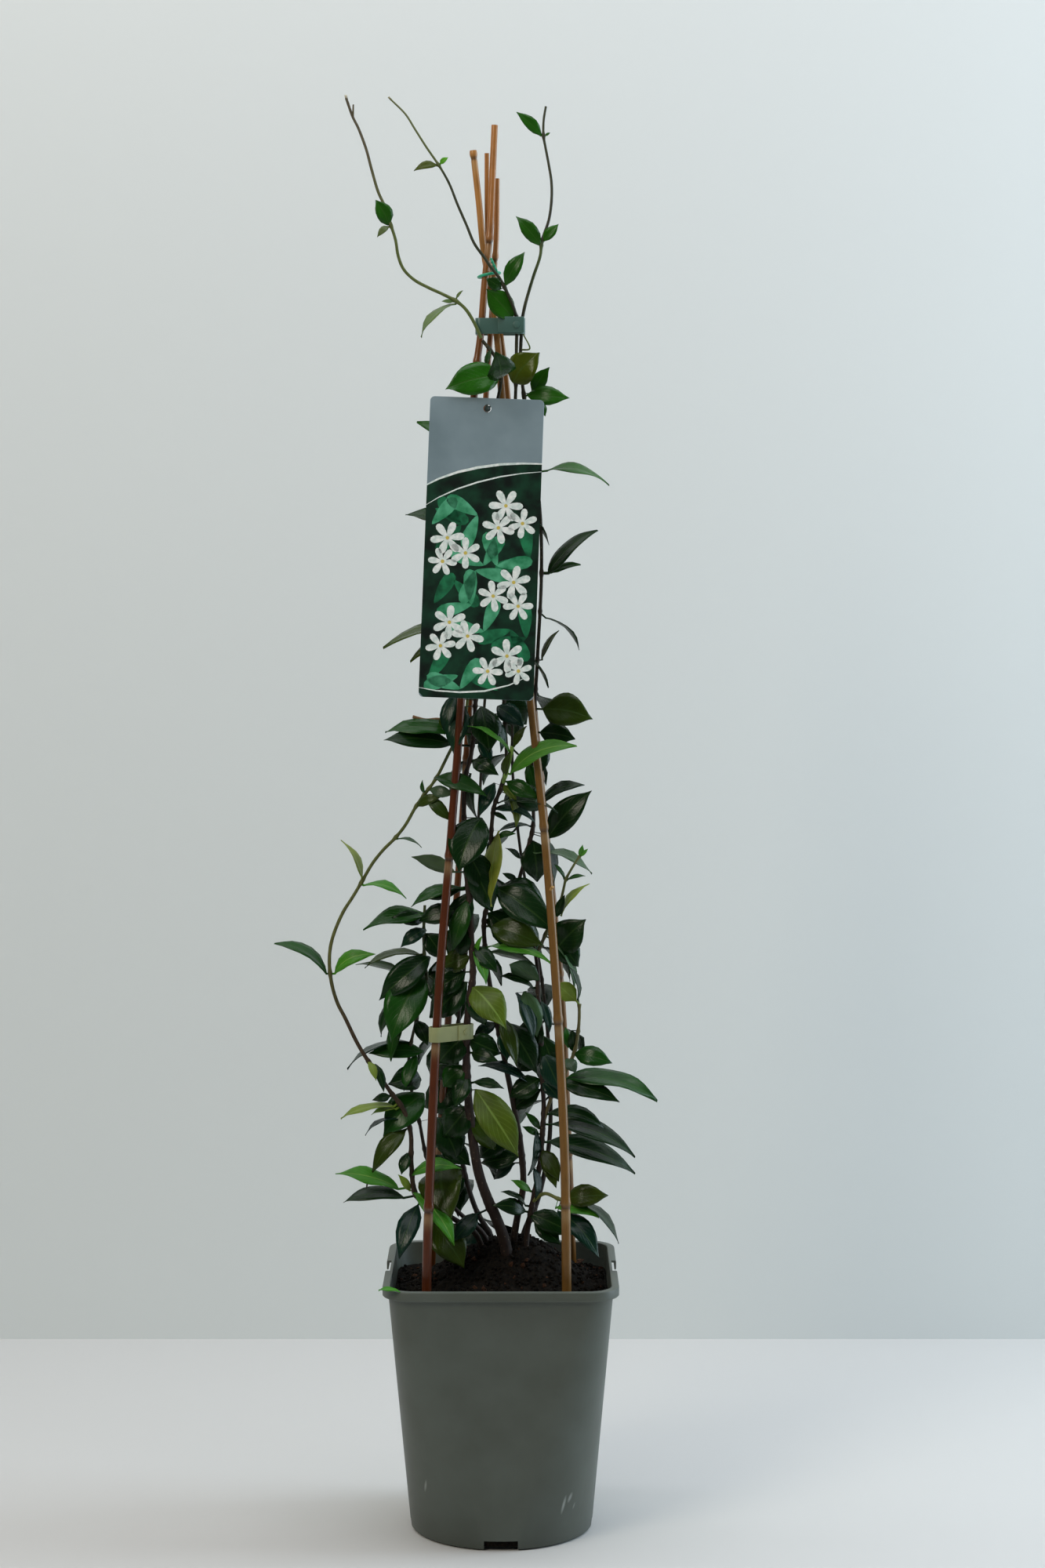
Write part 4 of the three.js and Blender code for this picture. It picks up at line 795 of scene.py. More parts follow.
# %% Tie wire
TIE_CENTRE = place(-8.9, 970.5, 2.4)
TIE_HALF_X = 8
TIE_HALF_DEPTH = 13.2
TIE_WIRE = 1.15
TIE_TAIL = [(-2.7, 971.4, -5.2), (-3, 972.6, -9.4), (-5.4, 978, -10.8), (-7.6, 983, -10.6)]
clear_selection()
bpy.ops.mesh.primitive_torus_add(
    location=TIE_CENTRE, major_radius=1, minor_radius=0.1, major_segments=64, minor_segments=14)
tie_loop = bpy.context.object
tie_loop.name = "tie wire"
for vertex in tie_loop.data.vertices:
    turn = math.atan2(vertex.co.y, vertex.co.x)
    away = (math.hypot(vertex.co.x, vertex.co.y) - 1) / 0.1 * TIE_WIRE
    vertex.co = Vector((
        (TIE_HALF_X + away) * math.cos(turn), (TIE_HALF_DEPTH + away) * math.sin(turn),
        vertex.co.z / 0.1 * TIE_WIRE + 1.6 * math.cos(turn))) * MM
apply_place(tie_loop)
tail = centripetal([place(*point) for point in TIE_TAIL], 0.5 * MM)
strands = [tie_loop]
for turn_start in (0, math.pi):
    strand = []
    for k, point in enumerate(tail):
        turn = turn_start + 0.55 * k
        strand.append(point + Vector((math.cos(turn), math.sin(turn) * 0.6, math.sin(turn))) * 0.55 * MM)
    strands.append(tube("strand", strand, [0.65 * MM] * len(strand), sides=8))
tie_wire = join(strands, "tie wire")
smooth(tie_wire, 60)

# %% Bands
BAND = 0.9


def band(name, half_x, half_y, corner, height, centre, turn, strap, step):
    """A rounded loop of flat strip, its outer face at the given size, and its buttoned end."""
    clear_selection()
    bpy.ops.mesh.primitive_plane_add(size=2)
    piece = bpy.context.object
    piece.name = name
    piece.scale = (half_x * MM, half_y * MM, 1)
    apply_place(piece)
    bpy.ops.object.mode_set(mode="EDIT")
    bpy.ops.mesh.bevel(offset=corner * MM, segments=10, profile=0.5, affect="VERTICES")
    bpy.ops.mesh.delete(type="ONLY_FACE")
    bpy.ops.mesh.select_all(action="SELECT")
    bpy.ops.mesh.extrude_edges_move(TRANSFORM_OT_translate={"value": (0, 0, height * MM)})
    bpy.ops.mesh.select_all(action="SELECT")
    bpy.ops.mesh.normals_make_consistent(inside=False)
    bpy.ops.object.mode_set(mode="OBJECT")
    apply_modifier(piece, "SOLIDIFY", thickness=BAND * MM, offset=-1)
    apply_modifier(piece, "BEVEL", width=0.2 * MM, segments=2, limit_method="ANGLE")
    clear_selection()
    strap_length, strap_at = strap
    bpy.ops.mesh.primitive_cube_add(
        size=1, location=(strap_at * MM, -(half_y + BAND / 2 + 0.05) * MM, (height / 2 + step) * MM),
        scale=(strap_length * MM, BAND * MM, height * MM))
    end = apply_place(bpy.context.object)
    apply_modifier(end, "BEVEL", width=0.35 * MM, segments=3)
    clear_selection()
    bpy.ops.mesh.primitive_cylinder_add(
        vertices=24, radius=height * 0.22 * MM, depth=0.8 * MM,
        location=((strap_at + strap_length * 0.2) * MM, -(half_y + BAND + 0.3) * MM,
                  (height / 2 + step) * MM),
        rotation=(math.pi / 2, 0, 0))
    button = apply_place(bpy.context.object)
    apply_modifier(button, "BEVEL", width=0.25 * MM, segments=2, limit_method="ANGLE")
    piece = join([piece, end, button], name)
    piece.rotation_euler.z = turn
    piece.location = centre - Vector((0, 0, height / 2 * MM))
    return smooth(apply_place(piece), 40)


upper_band = band(
    "upper band", 18.9, 14, 4, 12, place(-0.4, 931.5, 1), 0, strap=(20, 8.2), step=0.9)
lower_band = band(
    "lower band", 19.2, 5.4, 5.3, 11.5, place(-38.8, 388.5, -33.2), 0.585, strap=(10, 8), step=0.4)

# %% [markdown]
# **Coated wire and moulded polyethylene.** The coating of tie wire is soft vinyl with a dull
# sheen. The bands are soft plastic: the upper one is grey-green, the lower one has faded to a
# pale olive and lets some light into it.

# %% Wire and band materials
def soft_plastic(name, colour, roughness, inside=0.0):
    """Plastic with a faint unevenness. The share 'inside' of the light goes into it."""
    material, tree, shader = new_material(name, {
        "Roughness": roughness, "Specular IOR Level": 0.5, "Subsurface Weight": inside,
        "Subsurface Radius": (0.002, 0.002, 0.0012), "Subsurface Scale": 1.0})
    where = add(tree, "ShaderNodeTexCoord").outputs["Object"]
    cloud = add(tree, "ShaderNodeTexNoise", None, {"Vector": where, "Scale": 120.0, "Detail": 2.0})
    worn = add(tree, "ShaderNodeHueSaturation", None, {"Value": 0.82, "Color": colour})
    mixed = add(tree, "ShaderNodeMix", {"data_type": "RGBA"}, {
        0: cloud.outputs["Fac"], 6: colour, 7: worn.outputs["Color"]})
    bump = add(tree, "ShaderNodeBump", None, {
        "Strength": 0.08, "Distance": 0.0003, "Height": cloud.outputs["Fac"]})
    connect(tree, shader, base_color=mixed.outputs[2], normal=bump.outputs["Normal"])
    return material


finish_piece(
    tie_wire, ["tie_wire"], [soft_plastic("green vinyl coated wire", "#1fa57c", 0.42)])
finish_piece(
    upper_band, ["upper_clip"],
    [soft_plastic("grey-green moulded polyethylene", "#4b6d65", 0.36)])
finish_piece(
    lower_band, ["lower_clip"],
    [soft_plastic("faded olive polyethylene", "#9aa070", 0.5, inside=0.15)])

# %% [markdown]
# ## The hang tag
# A sheet of printed plastic with rounded corners hangs from a coated wire. Its picture is
# plain: a slate header over a curved edge, and on a dark green field broad leaves with round,
# six-petalled flowers. Print has no thickness to speak of, so each shape is
# a film a few hundredths of a millimetre above the sheet, one above the other in the order
# of printing.

# %% Tag sheet
TAG_WIDTH = 86
TAG_HEIGHT = 229
TAG_SHEET = 0.8
TAG_CORNER = 3.5
TAG_TOP = place(-10.3, 877.5, -27)
TAG_TURN = Matrix.Rotation(0.037, 4, "Y") @ Matrix.Rotation(-0.19, 4, "X")
HOLE_DROP = 8


def outline_film(name, points, height):
    """A flat shape on the tag: corners in mm from the middle of its top edge, x right, z up."""
    mesh = bpy.data.meshes.new(name)
    mesh.from_pydata(
        [(x * MM, -(TAG_SHEET / 2 + height) * MM, z * MM) for x, z in points], [],
        [tuple(range(len(points)))])
    piece = bpy.data.objects.new(name, mesh)
    bpy.context.collection.objects.link(piece)
    return piece


def hang(piece):
    """From the tag's own upright place to where it hangs."""
    piece.matrix_world = Matrix.Translation(TAG_TOP) @ TAG_TURN
    return apply_place(piece)


clear_selection()
bpy.ops.mesh.primitive_plane_add(size=2, rotation=(math.pi / 2, 0, 0))
tag = bpy.context.object
tag.name = "hang tag"
tag.scale = (TAG_WIDTH / 2 * MM, TAG_HEIGHT / 2 * MM, 1)
tag.location = (0, 0, -TAG_HEIGHT / 2 * MM)
apply_place(tag)
bpy.ops.object.mode_set(mode="EDIT")
bpy.ops.mesh.bevel(offset=TAG_CORNER * MM, segments=10, profile=0.5, affect="VERTICES")
bpy.ops.object.mode_set(mode="OBJECT")
apply_modifier(tag, "SOLIDIFY", thickness=TAG_SHEET * MM, offset=0)
clear_selection()
bpy.ops.mesh.primitive_cylinder_add(
    vertices=32, radius=3 * MM, depth=4 * MM, rotation=(math.pi / 2, 0, 0),
    location=(0.4 * MM, 0, -HOLE_DROP * MM))
cut_away(tag, [apply_place(bpy.context.object)])
apply_modifier(tag, "BEVEL", width=0.12 * MM, segments=1, limit_method="ANGLE")

# %% Printed picture
ARC = [(-43, -68), (-34, -63), (-20, -57.5), (-5, -53.5), (12, -50.5), (28, -49.2), (43, -49)]


def strip(points, half_width, ends=0.25):
    """The outline of a line of ink: full in the middle and thinner at its ends."""
    left, right = [], []
    for k, (x, z) in enumerate(points):
        before, after = points[max(0, k - 1)], points[min(len(points) - 1, k + 1)]
        dx, dz = after[0] - before[0], after[1] - before[1]
        length = math.hypot(dx, dz)
        share = k / (len(points) - 1)
        half = half_width * (ends + (1 - ends) * math.sin(math.pi * share))
        left.append((x - dz / length * half, z + dx / length * half))
        right.append((x + dz / length * half, z - dx / length * half))
    return left + right[::-1]


def petal(x, z, turn, length, width):
    """A round-ended petal or leaf that starts at a point."""
    outline = []
    for k in range(14):
        angle = 2 * math.pi * k / 14
        along = length * (0.5 - 0.5 * math.cos(angle))
        beside = width * math.sin(angle) * (0.35 + 0.65 * along / length)
        outline.append((
            x + along * math.cos(turn) - beside * math.sin(turn),
            z + along * math.sin(turn) + beside * math.cos(turn)))
    return outline


FLOWERS = [
    # x, z, petal length
    (17, -82, 13), (30, -95, 11.5), (12, -99, 12.5), (-26, -108, 13), (-12, -119, 12), (-29, -126, 11),
    (25, -140, 13), (10, -151, 12), (29, -158, 11.5), (-22, -172, 13), (-8, -182, 12.5), (-28, -190, 11.5),
    (22, -196, 13), (8, -208, 11.5), (31, -207, 10.5),
]
LEAF_STARTS = [
    # x, z, direction in degrees
    (-38, -98, 50), (-16, -98, 130), (-4, -90, 150), (36, -122, 100), (2, -128, 60), (-20, -140, 215),
    (12, -128, 10), (-34, -158, 60), (-6, -158, 95), (36, -182, 95), (4, -178, 70), (-36, -216, 60),
    (-14, -212, 200), (16, -222, 150), (-4, -132, 250), (24, -176, 200), (-12, -222, 60), (-36, -86, -20),
]
PRINTED_LEAF = 27
PRINTED_LEAF_WIDTH = 7
LEAF_PAIR_ANGLE = 100
FIELD_HALF = 41


def in_field(x, z):
    return abs(x) < FIELD_HALF and -226 < z < -69 + 0.2 * x


FILM_HEIGHTS = {
    # millimetres above the sheet, in the order of printing
    "field": 0.02, "leaf ink": 0.04, "pale leaf ink": 0.05, "white ink": 0.07, "yellow ink": 0.09,
}
PETALS = 6
PETAL_RATIO = 0.3
EYE_RADIUS = 1.4
prints = {colour: [] for colour in FILM_HEIGHTS}


def print_shape(colour, points):
    prints[colour].append(outline_film(colour, points, FILM_HEIGHTS[colour]))


tag_side = TAG_WIDTH / 2
print_shape("field", ARC + [
    (tag_side, TAG_CORNER - TAG_HEIGHT), (tag_side - TAG_CORNER, -TAG_HEIGHT),
    (TAG_CORNER - tag_side, -TAG_HEIGHT), (-tag_side, TAG_CORNER - TAG_HEIGHT)])
for k, (x, z, degrees) in enumerate(LEAF_STARTS):
    for turn in (math.radians(degrees), math.radians(degrees + LEAF_PAIR_ANGLE)):
        tip = (x + PRINTED_LEAF * math.cos(turn), z + PRINTED_LEAF * math.sin(turn))
        if in_field(*tip):
            shape = petal(x, z, turn, PRINTED_LEAF, PRINTED_LEAF_WIDTH)
            print_shape("leaf ink" if k % 2 else "pale leaf ink", shape)
for k, (x, z, size) in enumerate(FLOWERS):
    for i in range(PETALS):
        turn = 2 * math.pi * i / PETALS + 0.4 * k
        print_shape("white ink", petal(x, z, turn, size, size * PETAL_RATIO))
    print_shape("yellow ink", [
        (x + EYE_RADIUS * math.cos(a * 0.7), z + EYE_RADIUS * math.sin(a * 0.7)) for a in range(9)])
print_shape("white ink", strip(ARC, 1.0, 0.5))
print_shape("white ink", strip([(x, z - 6 - 0.11 * (tag_side - x)) for x, z in ARC], 0.6))
LOW_LINE = [(-43, -222), (-30, -224), (-12, -224.5), (6, -223), (24, -218), (36, -212)]
print_shape("white ink", strip(LOW_LINE, 0.7))

# %% [markdown]
# **Printed polypropylene sheet.** The sheet is glossy and thin; the print lies under the same
# gloss. The inks are flat colours, a little uneven like a coarse photo print. The tie is a
# dark green plastic-coated wire, and the knot at its end fills the hole.

# %% Tag materials and tie
def ink(name, dark, light, size_mm):
    """A flat printed colour under the sheet's gloss."""
    material, tree, shader = new_material(name, {"Roughness": 0.28, "Specular IOR Level": 0.5})
    where = add(tree, "ShaderNodeTexCoord").outputs["Object"]
    clouds = add(tree, "ShaderNodeTexNoise", None, {
        "Vector": where, "Scale": 1 / (size_mm * MM), "Detail": 4.0})
    colour = add(tree, "ShaderNodeValToRGB", {"stops": [(0.35, dark), (0.65, light)]}, {
        "Fac": clouds.outputs["Fac"]})
    connect(tree, shader, base_color=colour.outputs["Color"])
    return material


sheet = ink("slate printed polypropylene sheet", "#74878f", "#8a9da6", 60)
INKS = {
    "field": ink("dark green ink", "#06140f", "#123a28", 12),
    "leaf ink": ink("leaf green ink", "#0f4a30", "#258055", 9),
    "pale leaf ink": ink("pale leaf green ink", "#227a50", "#59b088", 9),
    "white ink": ink("white ink", "#cfe0dc", "#f6fbf9", 3),
    "yellow ink": ink("yellow ink", "#c9b656", "#d9c765", 4),
}
finish_piece(hang(tag), ["hang_tag"], [sheet])
for name, films in prints.items():
    finish_piece(hang(join(films, name)), [], [INKS[name]])

TAG_TIE = [
    (-7.6, 872.5, -14.5), (-5.6, 873, -11), (-2.6, 873.6, -10.6), (-0.4, 874, -13.6), (-1.6, 873.6, -17.2),
    (-5, 872.6, -19.8), (-8.6, 870.8, -24), (-10.3, 869.4, -28.6), (-10.7, 870.6, -31.2), (-10.6, 872.6, -32),
]
wire = centripetal([place(*point) for point in TAG_TIE], 0.8 * MM)
HOLE_PLACE = place(-10.4, 869.6, -28.4)
WIRE_RADIUS = 0.8
KNOT_SWELL = 1.7
KNOT_REACH = 2.2
knots = [math.exp(-(((point - HOLE_PLACE).length / (KNOT_REACH * MM)) ** 2)) for point in wire]
radii = [(WIRE_RADIUS + KNOT_SWELL * knot) * MM for knot in knots]
tag_tie = tube("tag tie", wire, radii, sides=10)
smooth(tag_tie, 60)
finish_piece(
    tag_tie, ["tag_tie"],
    [soft_plastic("dark green plastic-coated wire", "#24332b", 0.45)])

# %% [markdown]
# ## Stems
# The main stems are woody below and soft at their tips. Where a leaf pair stands or stood, the
# stem is a little swollen. Colour runs from dark brown bark to green skin on the young shoots.

# %% Stem lines
STEMS = {
    "stem_main": {
        "radius": (4.9, 1.3),
        "points": [
            (6, 205, -2), (2, 226, -4), (-5, 245, -8), (-10, 256, -12), (-18, 280, -18), (-24, 320, -22),
            (-26.5, 350, -24), (-27, 385, -26), (-25, 412, -27), (-22, 432, -26), (-23, 462, -24),
            (-24, 488, -22), (-27, 515, -20), (-28.5, 550, -18), (-28, 585, -17), (-23, 605, -15),
            (-20, 640, -12), (-16, 700, -9), (-12, 760, -9), (-8, 820, -11), (-4, 868, -14), (0, 892, -16),
            (-4, 908, -16), (-14, 921, -15),
        ],
    },
    "stem_middle": {
        "radius": (3.0, 1.3),
        "points": [
            (8, 205, 6), (10, 228, 4), (13, 246, 2), (17, 268, 0), (15, 300, -3), (9, 335, -6),
            (2, 370, -8), (-6, 410, -8), (-12, 450, -6), (-13, 478, -5), (-8, 497, -6), (-8, 530, -8),
            (-7, 553, -10), (-5, 566, -12), (1, 582, -14), (4, 600, -10), (3, 630, -5), (2, 670, -1),
            (4, 730, 1), (7, 790, 1), (10, 850, -1), (11.5, 890, -5), (12, 920, -7), (12.5, 936, -7.5),
        ],
    },
    "stem_right": {
        "radius": (2.2, 1.3),
        "points": [
            (19, 205, 4), (20, 230, 2), (22, 242, 0), (25, 258, -3), (30, 285, -6), (32, 310, -8),
            (33, 330, -9), (31.5, 360, -10), (30.5, 395, -9), (28.5, 420, -8), (28, 440, -6),
            (24, 462, -3), (18, 485, 0), (14, 506, 0), (18, 522, 0), (20, 531, 1), (24, 545, 4),
            (25, 555, 5), (24, 580, 8), (25, 620, 10), (28, 680, 9), (31, 742, 5), (30, 790, 3),
            (24, 840, 2), (17.5, 880, 2), (15, 905, 2), (15.6, 925, 1), (16.4, 937, -1),
        ],
    },
    "stem_twining": {
        "radius": (2.4, 1.2),
        "points": [
            (-12, 208, 8), (-20, 230, 2), (-34, 240, -4), (-52, 251, -12), (-66, 260, -20),
            (-70, 285, -24), (-70.5, 310, -24), (-76, 328, -24), (-86, 342, -26), (-95, 355, -28),
            (-105, 369, -30), (-112, 381, -30), (-121, 400, -28), (-127, 412, -26), (-131.5, 428, -24),
            (-133, 444, -22), (-132, 456, -20), (-129, 467, -18), (-122, 483, -16), (-115, 494, -14),
            (-109, 504, -12), (-105, 511, -12), (-99, 521, -12), (-91, 531, -12), (-82, 540, -12),
            (-74, 550, -14), (-66, 564, -16), (-60, 573, -18), (-53, 582, -18), (-47.5, 591, -16),
            (-44, 598, -12), (-39, 608, -6), (-31, 622, 3), (-26, 645, 6), (-26, 680, 6), (-27, 715, 4),
        ],
    },
    "stem_second": {
        "radius": (2.2, 1.1),
        "points": [
            (-6, 208, 12), (-14, 230, 12), (-32, 246, 8), (-48, 264, 3), (-58, 290, -1), (-64, 320, -5),
            (-70, 345, -7), (-72, 362, -8), (-70, 380, -8), (-64, 405, -8), (-58, 428, -8),
            (-59.5, 450, -8), (-60, 465, -8), (-59, 488, -8),
        ],
    },
    "stem_back_left": {
        "radius": (2.4, 1.1),
        "points": [
            (0, 205, 24), (-8, 228, 28), (-20, 250, 35), (-31, 290, 42), (-36, 340, 42), (-33, 400, 36),
            (-26, 460, 30), (-20, 520, 26), (-16, 580, 22), (-13, 640, 18), (-7, 700, 15),
        ],
    },
    "stem_back_right": {
        "radius": (2.4, 1.1),
        "points": [
            (12, 205, 26), (18, 232, 30), (28, 256, 37), (37, 300, 43), (38, 350, 42), (34, 410, 36),
            (25, 470, 32), (15, 530, 28), (9, 590, 25), (9, 650, 21), (10, 720, 16),
        ],
    },
    "shoot_low_right": {
        "radius": (1.6, 1.2),
        "points": [
            (24.6, 256, -3), (34, 262, -10), (44, 258, -16), (51, 256, -20),
        ],
    },
    "shoot_hanging_right": {
        "radius": (1.5, 1.2),
        "points": [
            (32.5, 318, -8), (40, 340, -12), (50, 358, -16), (57, 374, -18), (59.5, 388, -19),
            (60.5, 400, -19), (60.5, 411, -19),
        ],
    },
    "shoot_bud_right": {
        "radius": (1.4, 0.9),
        "points": [
            (27, 448, -5), (38, 474, -9), (46, 492, -11), (48.5, 502, -11), (50, 508, -11), (56, 519, -12),
            (61, 526.5, -13),
        ],
    },
    "shoot_bright": {
        "radius": (1.5, 1.1),
        "points": [
            (1, 582, -14), (4, 591, -18), (7, 601, -21), (8.5, 611, -23),
        ],
    },
    "dead_petiole": {
        "radius": (1.1, 1.3),
        "points": [
            (-33, 619, 1), (-42, 629, -6), (-48, 632, -10), (-58, 631.5, -12), (-68, 634, -13),
        ],
    },
    "shoot_top_left": {
        "radius": (1.3, 1.0),
        "points": [
            (-15, 923, -15), (-20, 934, -15), (-27, 945, -15), (-33.5, 950.5, -15), (-44, 956, -16),
            (-55, 961, -17), (-66, 967, -18), (-74, 975, -20), (-78, 985, -20), (-80, 997, -20),
            (-84.5, 1011, -19), (-88, 1022, -18), (-93, 1033, -16), (-98, 1050, -13), (-102, 1065, -10),
            (-108, 1081, -6), (-112, 1089, -4), (-117, 1103, -2),
        ],
    },
    "shoot_top_middle": {
        "radius": (1.3, 0.7),
        "points": [
            (12.5, 937, -7.5), (9, 948, -12), (2.5, 962, -13.5), (-1.5, 969, -13.5), (-8, 977, -13),
            (-12, 983, -12.5), (-20, 994, -12), (-26, 1008, -10), (-33, 1024, -8), (-39, 1039, -6),
            (-46, 1051.5, -5), (-56, 1066, -3), (-65, 1080, 0), (-72, 1091, 3), (-83, 1102, 7),
        ],
    },
    "shoot_top_right": {
        "radius": (1.3, 0.9),
        "points": [
            (16.4, 938, -1), (18.5, 948, -2), (21, 957, -2), (25, 970, -3), (30, 985, -4), (31.3, 996, -4),
            (36.5, 1012, -3), (38.5, 1026, -2), (38.5, 1040, 0), (36.5, 1053, 2), (33.8, 1067, 4),
            (32.4, 1075, 5), (32.6, 1087, 7), (34.2, 1097, 8),
        ],
    },
}

# %% [markdown]
# ## Where the leaves sit
# Star jasmine bears its leaves in opposite pairs on short stalks. Each leaf that shows clearly
# is given by the stem that bears it, its base and tip in front view, how far the tip reaches
# back or forward, how wide it looks, and how strongly it arches. A width that looks narrower
# than the leaf's real shape means that the blade is turned edge-on, and a negative one that
# its underside shows.

# %% Large leaves
LARGE_LEAVES = [
    # stem, base x and z, tip x and z, reach, width seen, arch, tone
    ("stem_twining", -80, 266, -129, 278, -10, 12, 0.1, "young"),
    ("stem_twining", -76, 259, -123, 256, -5, 11, 0.1, "dark"),
    ("stem_second", -46, 287, -40, 243, -45, 34, 0.12, "olive"),
    ("stem_twining", -55, 240, -29, 203, -22, 27, 0.1, "olive"),
    ("stem_second", -60, 374, -103, 373, -5, 13, 0.06, "mid"),
    ("stem_second", -62, 352, -88, 348, -16, 20, 0.17, "dark"),
    ("stem_second", -60, 341, -92, 308, -20, 26, 0.13, "mid"),
    ("stem_twining", -74, 313, -101, 279, -8, 14, 0.1, "olive"),
    ("stem_main", -20, 344, 14, 292, -18, 27, 0.1, "yellow"),
    ("shoot_low_right", 44, 248, 77, 211, -24, 16, 0.12, "blue"),
    ("shoot_hanging_right", 45, 350, 92, 336, -14, 15, 0.08, "dark"),
    ("shoot_hanging_right", 51, 353, 122, 338, -4, 14, 0.08, "mid"),
    ("stem_right", 37, 317, 105, 294, -16, 14, 0.08, "dark"),
    ("stem_right", 35, 303, 105, 280, -8, 17, 0.08, "dark"),
    ("stem_second", -55, 448, -95, 414, -12, 22, 0.15, "dark"),
    ("stem_second", -60, 434, -86, 381, -26, 30, 0.1, "mid"),
    ("stem_second", -56, 480, -107, 471, -10, 13, 0.14, "mid"),
    ("stem_main", -22, 424, 4, 392, -28, 25, 0.16, "yellow"),
    ("stem_middle", -10, 456, 39, 444, -24, 9, 0.12, "young"),
    ("stem_middle", -8, 472, 33, 457, -18, 22, 0.1, "olive"),
    ("stem_middle", -4, 502, 41, 468, -20, 27, 0.08, "dark"),
    ("shoot_bud_right", 41, 452, 65, 477, -14, 26, 0.08, "dark"),
    ("stem_twining", -51, 587, -11, 574, -16, 13, 0.09, "mid"),
    ("stem_main", -15, 556, -33, 514, -22, 30, 0.09, "dark"),
    ("stem_middle", -2, 546, -8, 487, -12, 13, 0.06, "pale"),
    ("shoot_bright", 7, 590, 58, 612, -14, 13, 0.16, "young"),
    ("stem_right", 36, 540, 69, 577, -10, 21, 0.08, "dark"),
    ("stem_right", 32, 640, 70, 633, -14, 26, 0.12, "olive"),
    ("stem_main", -38, 613, -90, 617, -16, 15, 0.05, "dark"),
    ("stem_right", 36, 744, 73, 778, -8, 11, 0.1, "dark"),
    ("stem_right", 36, 823, 83, 812, -8, 7, 0.14, "mid"),
    ("stem_main", 0, 895, -42, 885, -14, 25, 0.08, "mid"),
    ("stem_middle", 9, 889, 29, 912, -14, 24, 0.11, "olive"),
    ("shoot_top_middle", 9, 938, -11, 960, -8, 19, 0.06, "mid"),
]

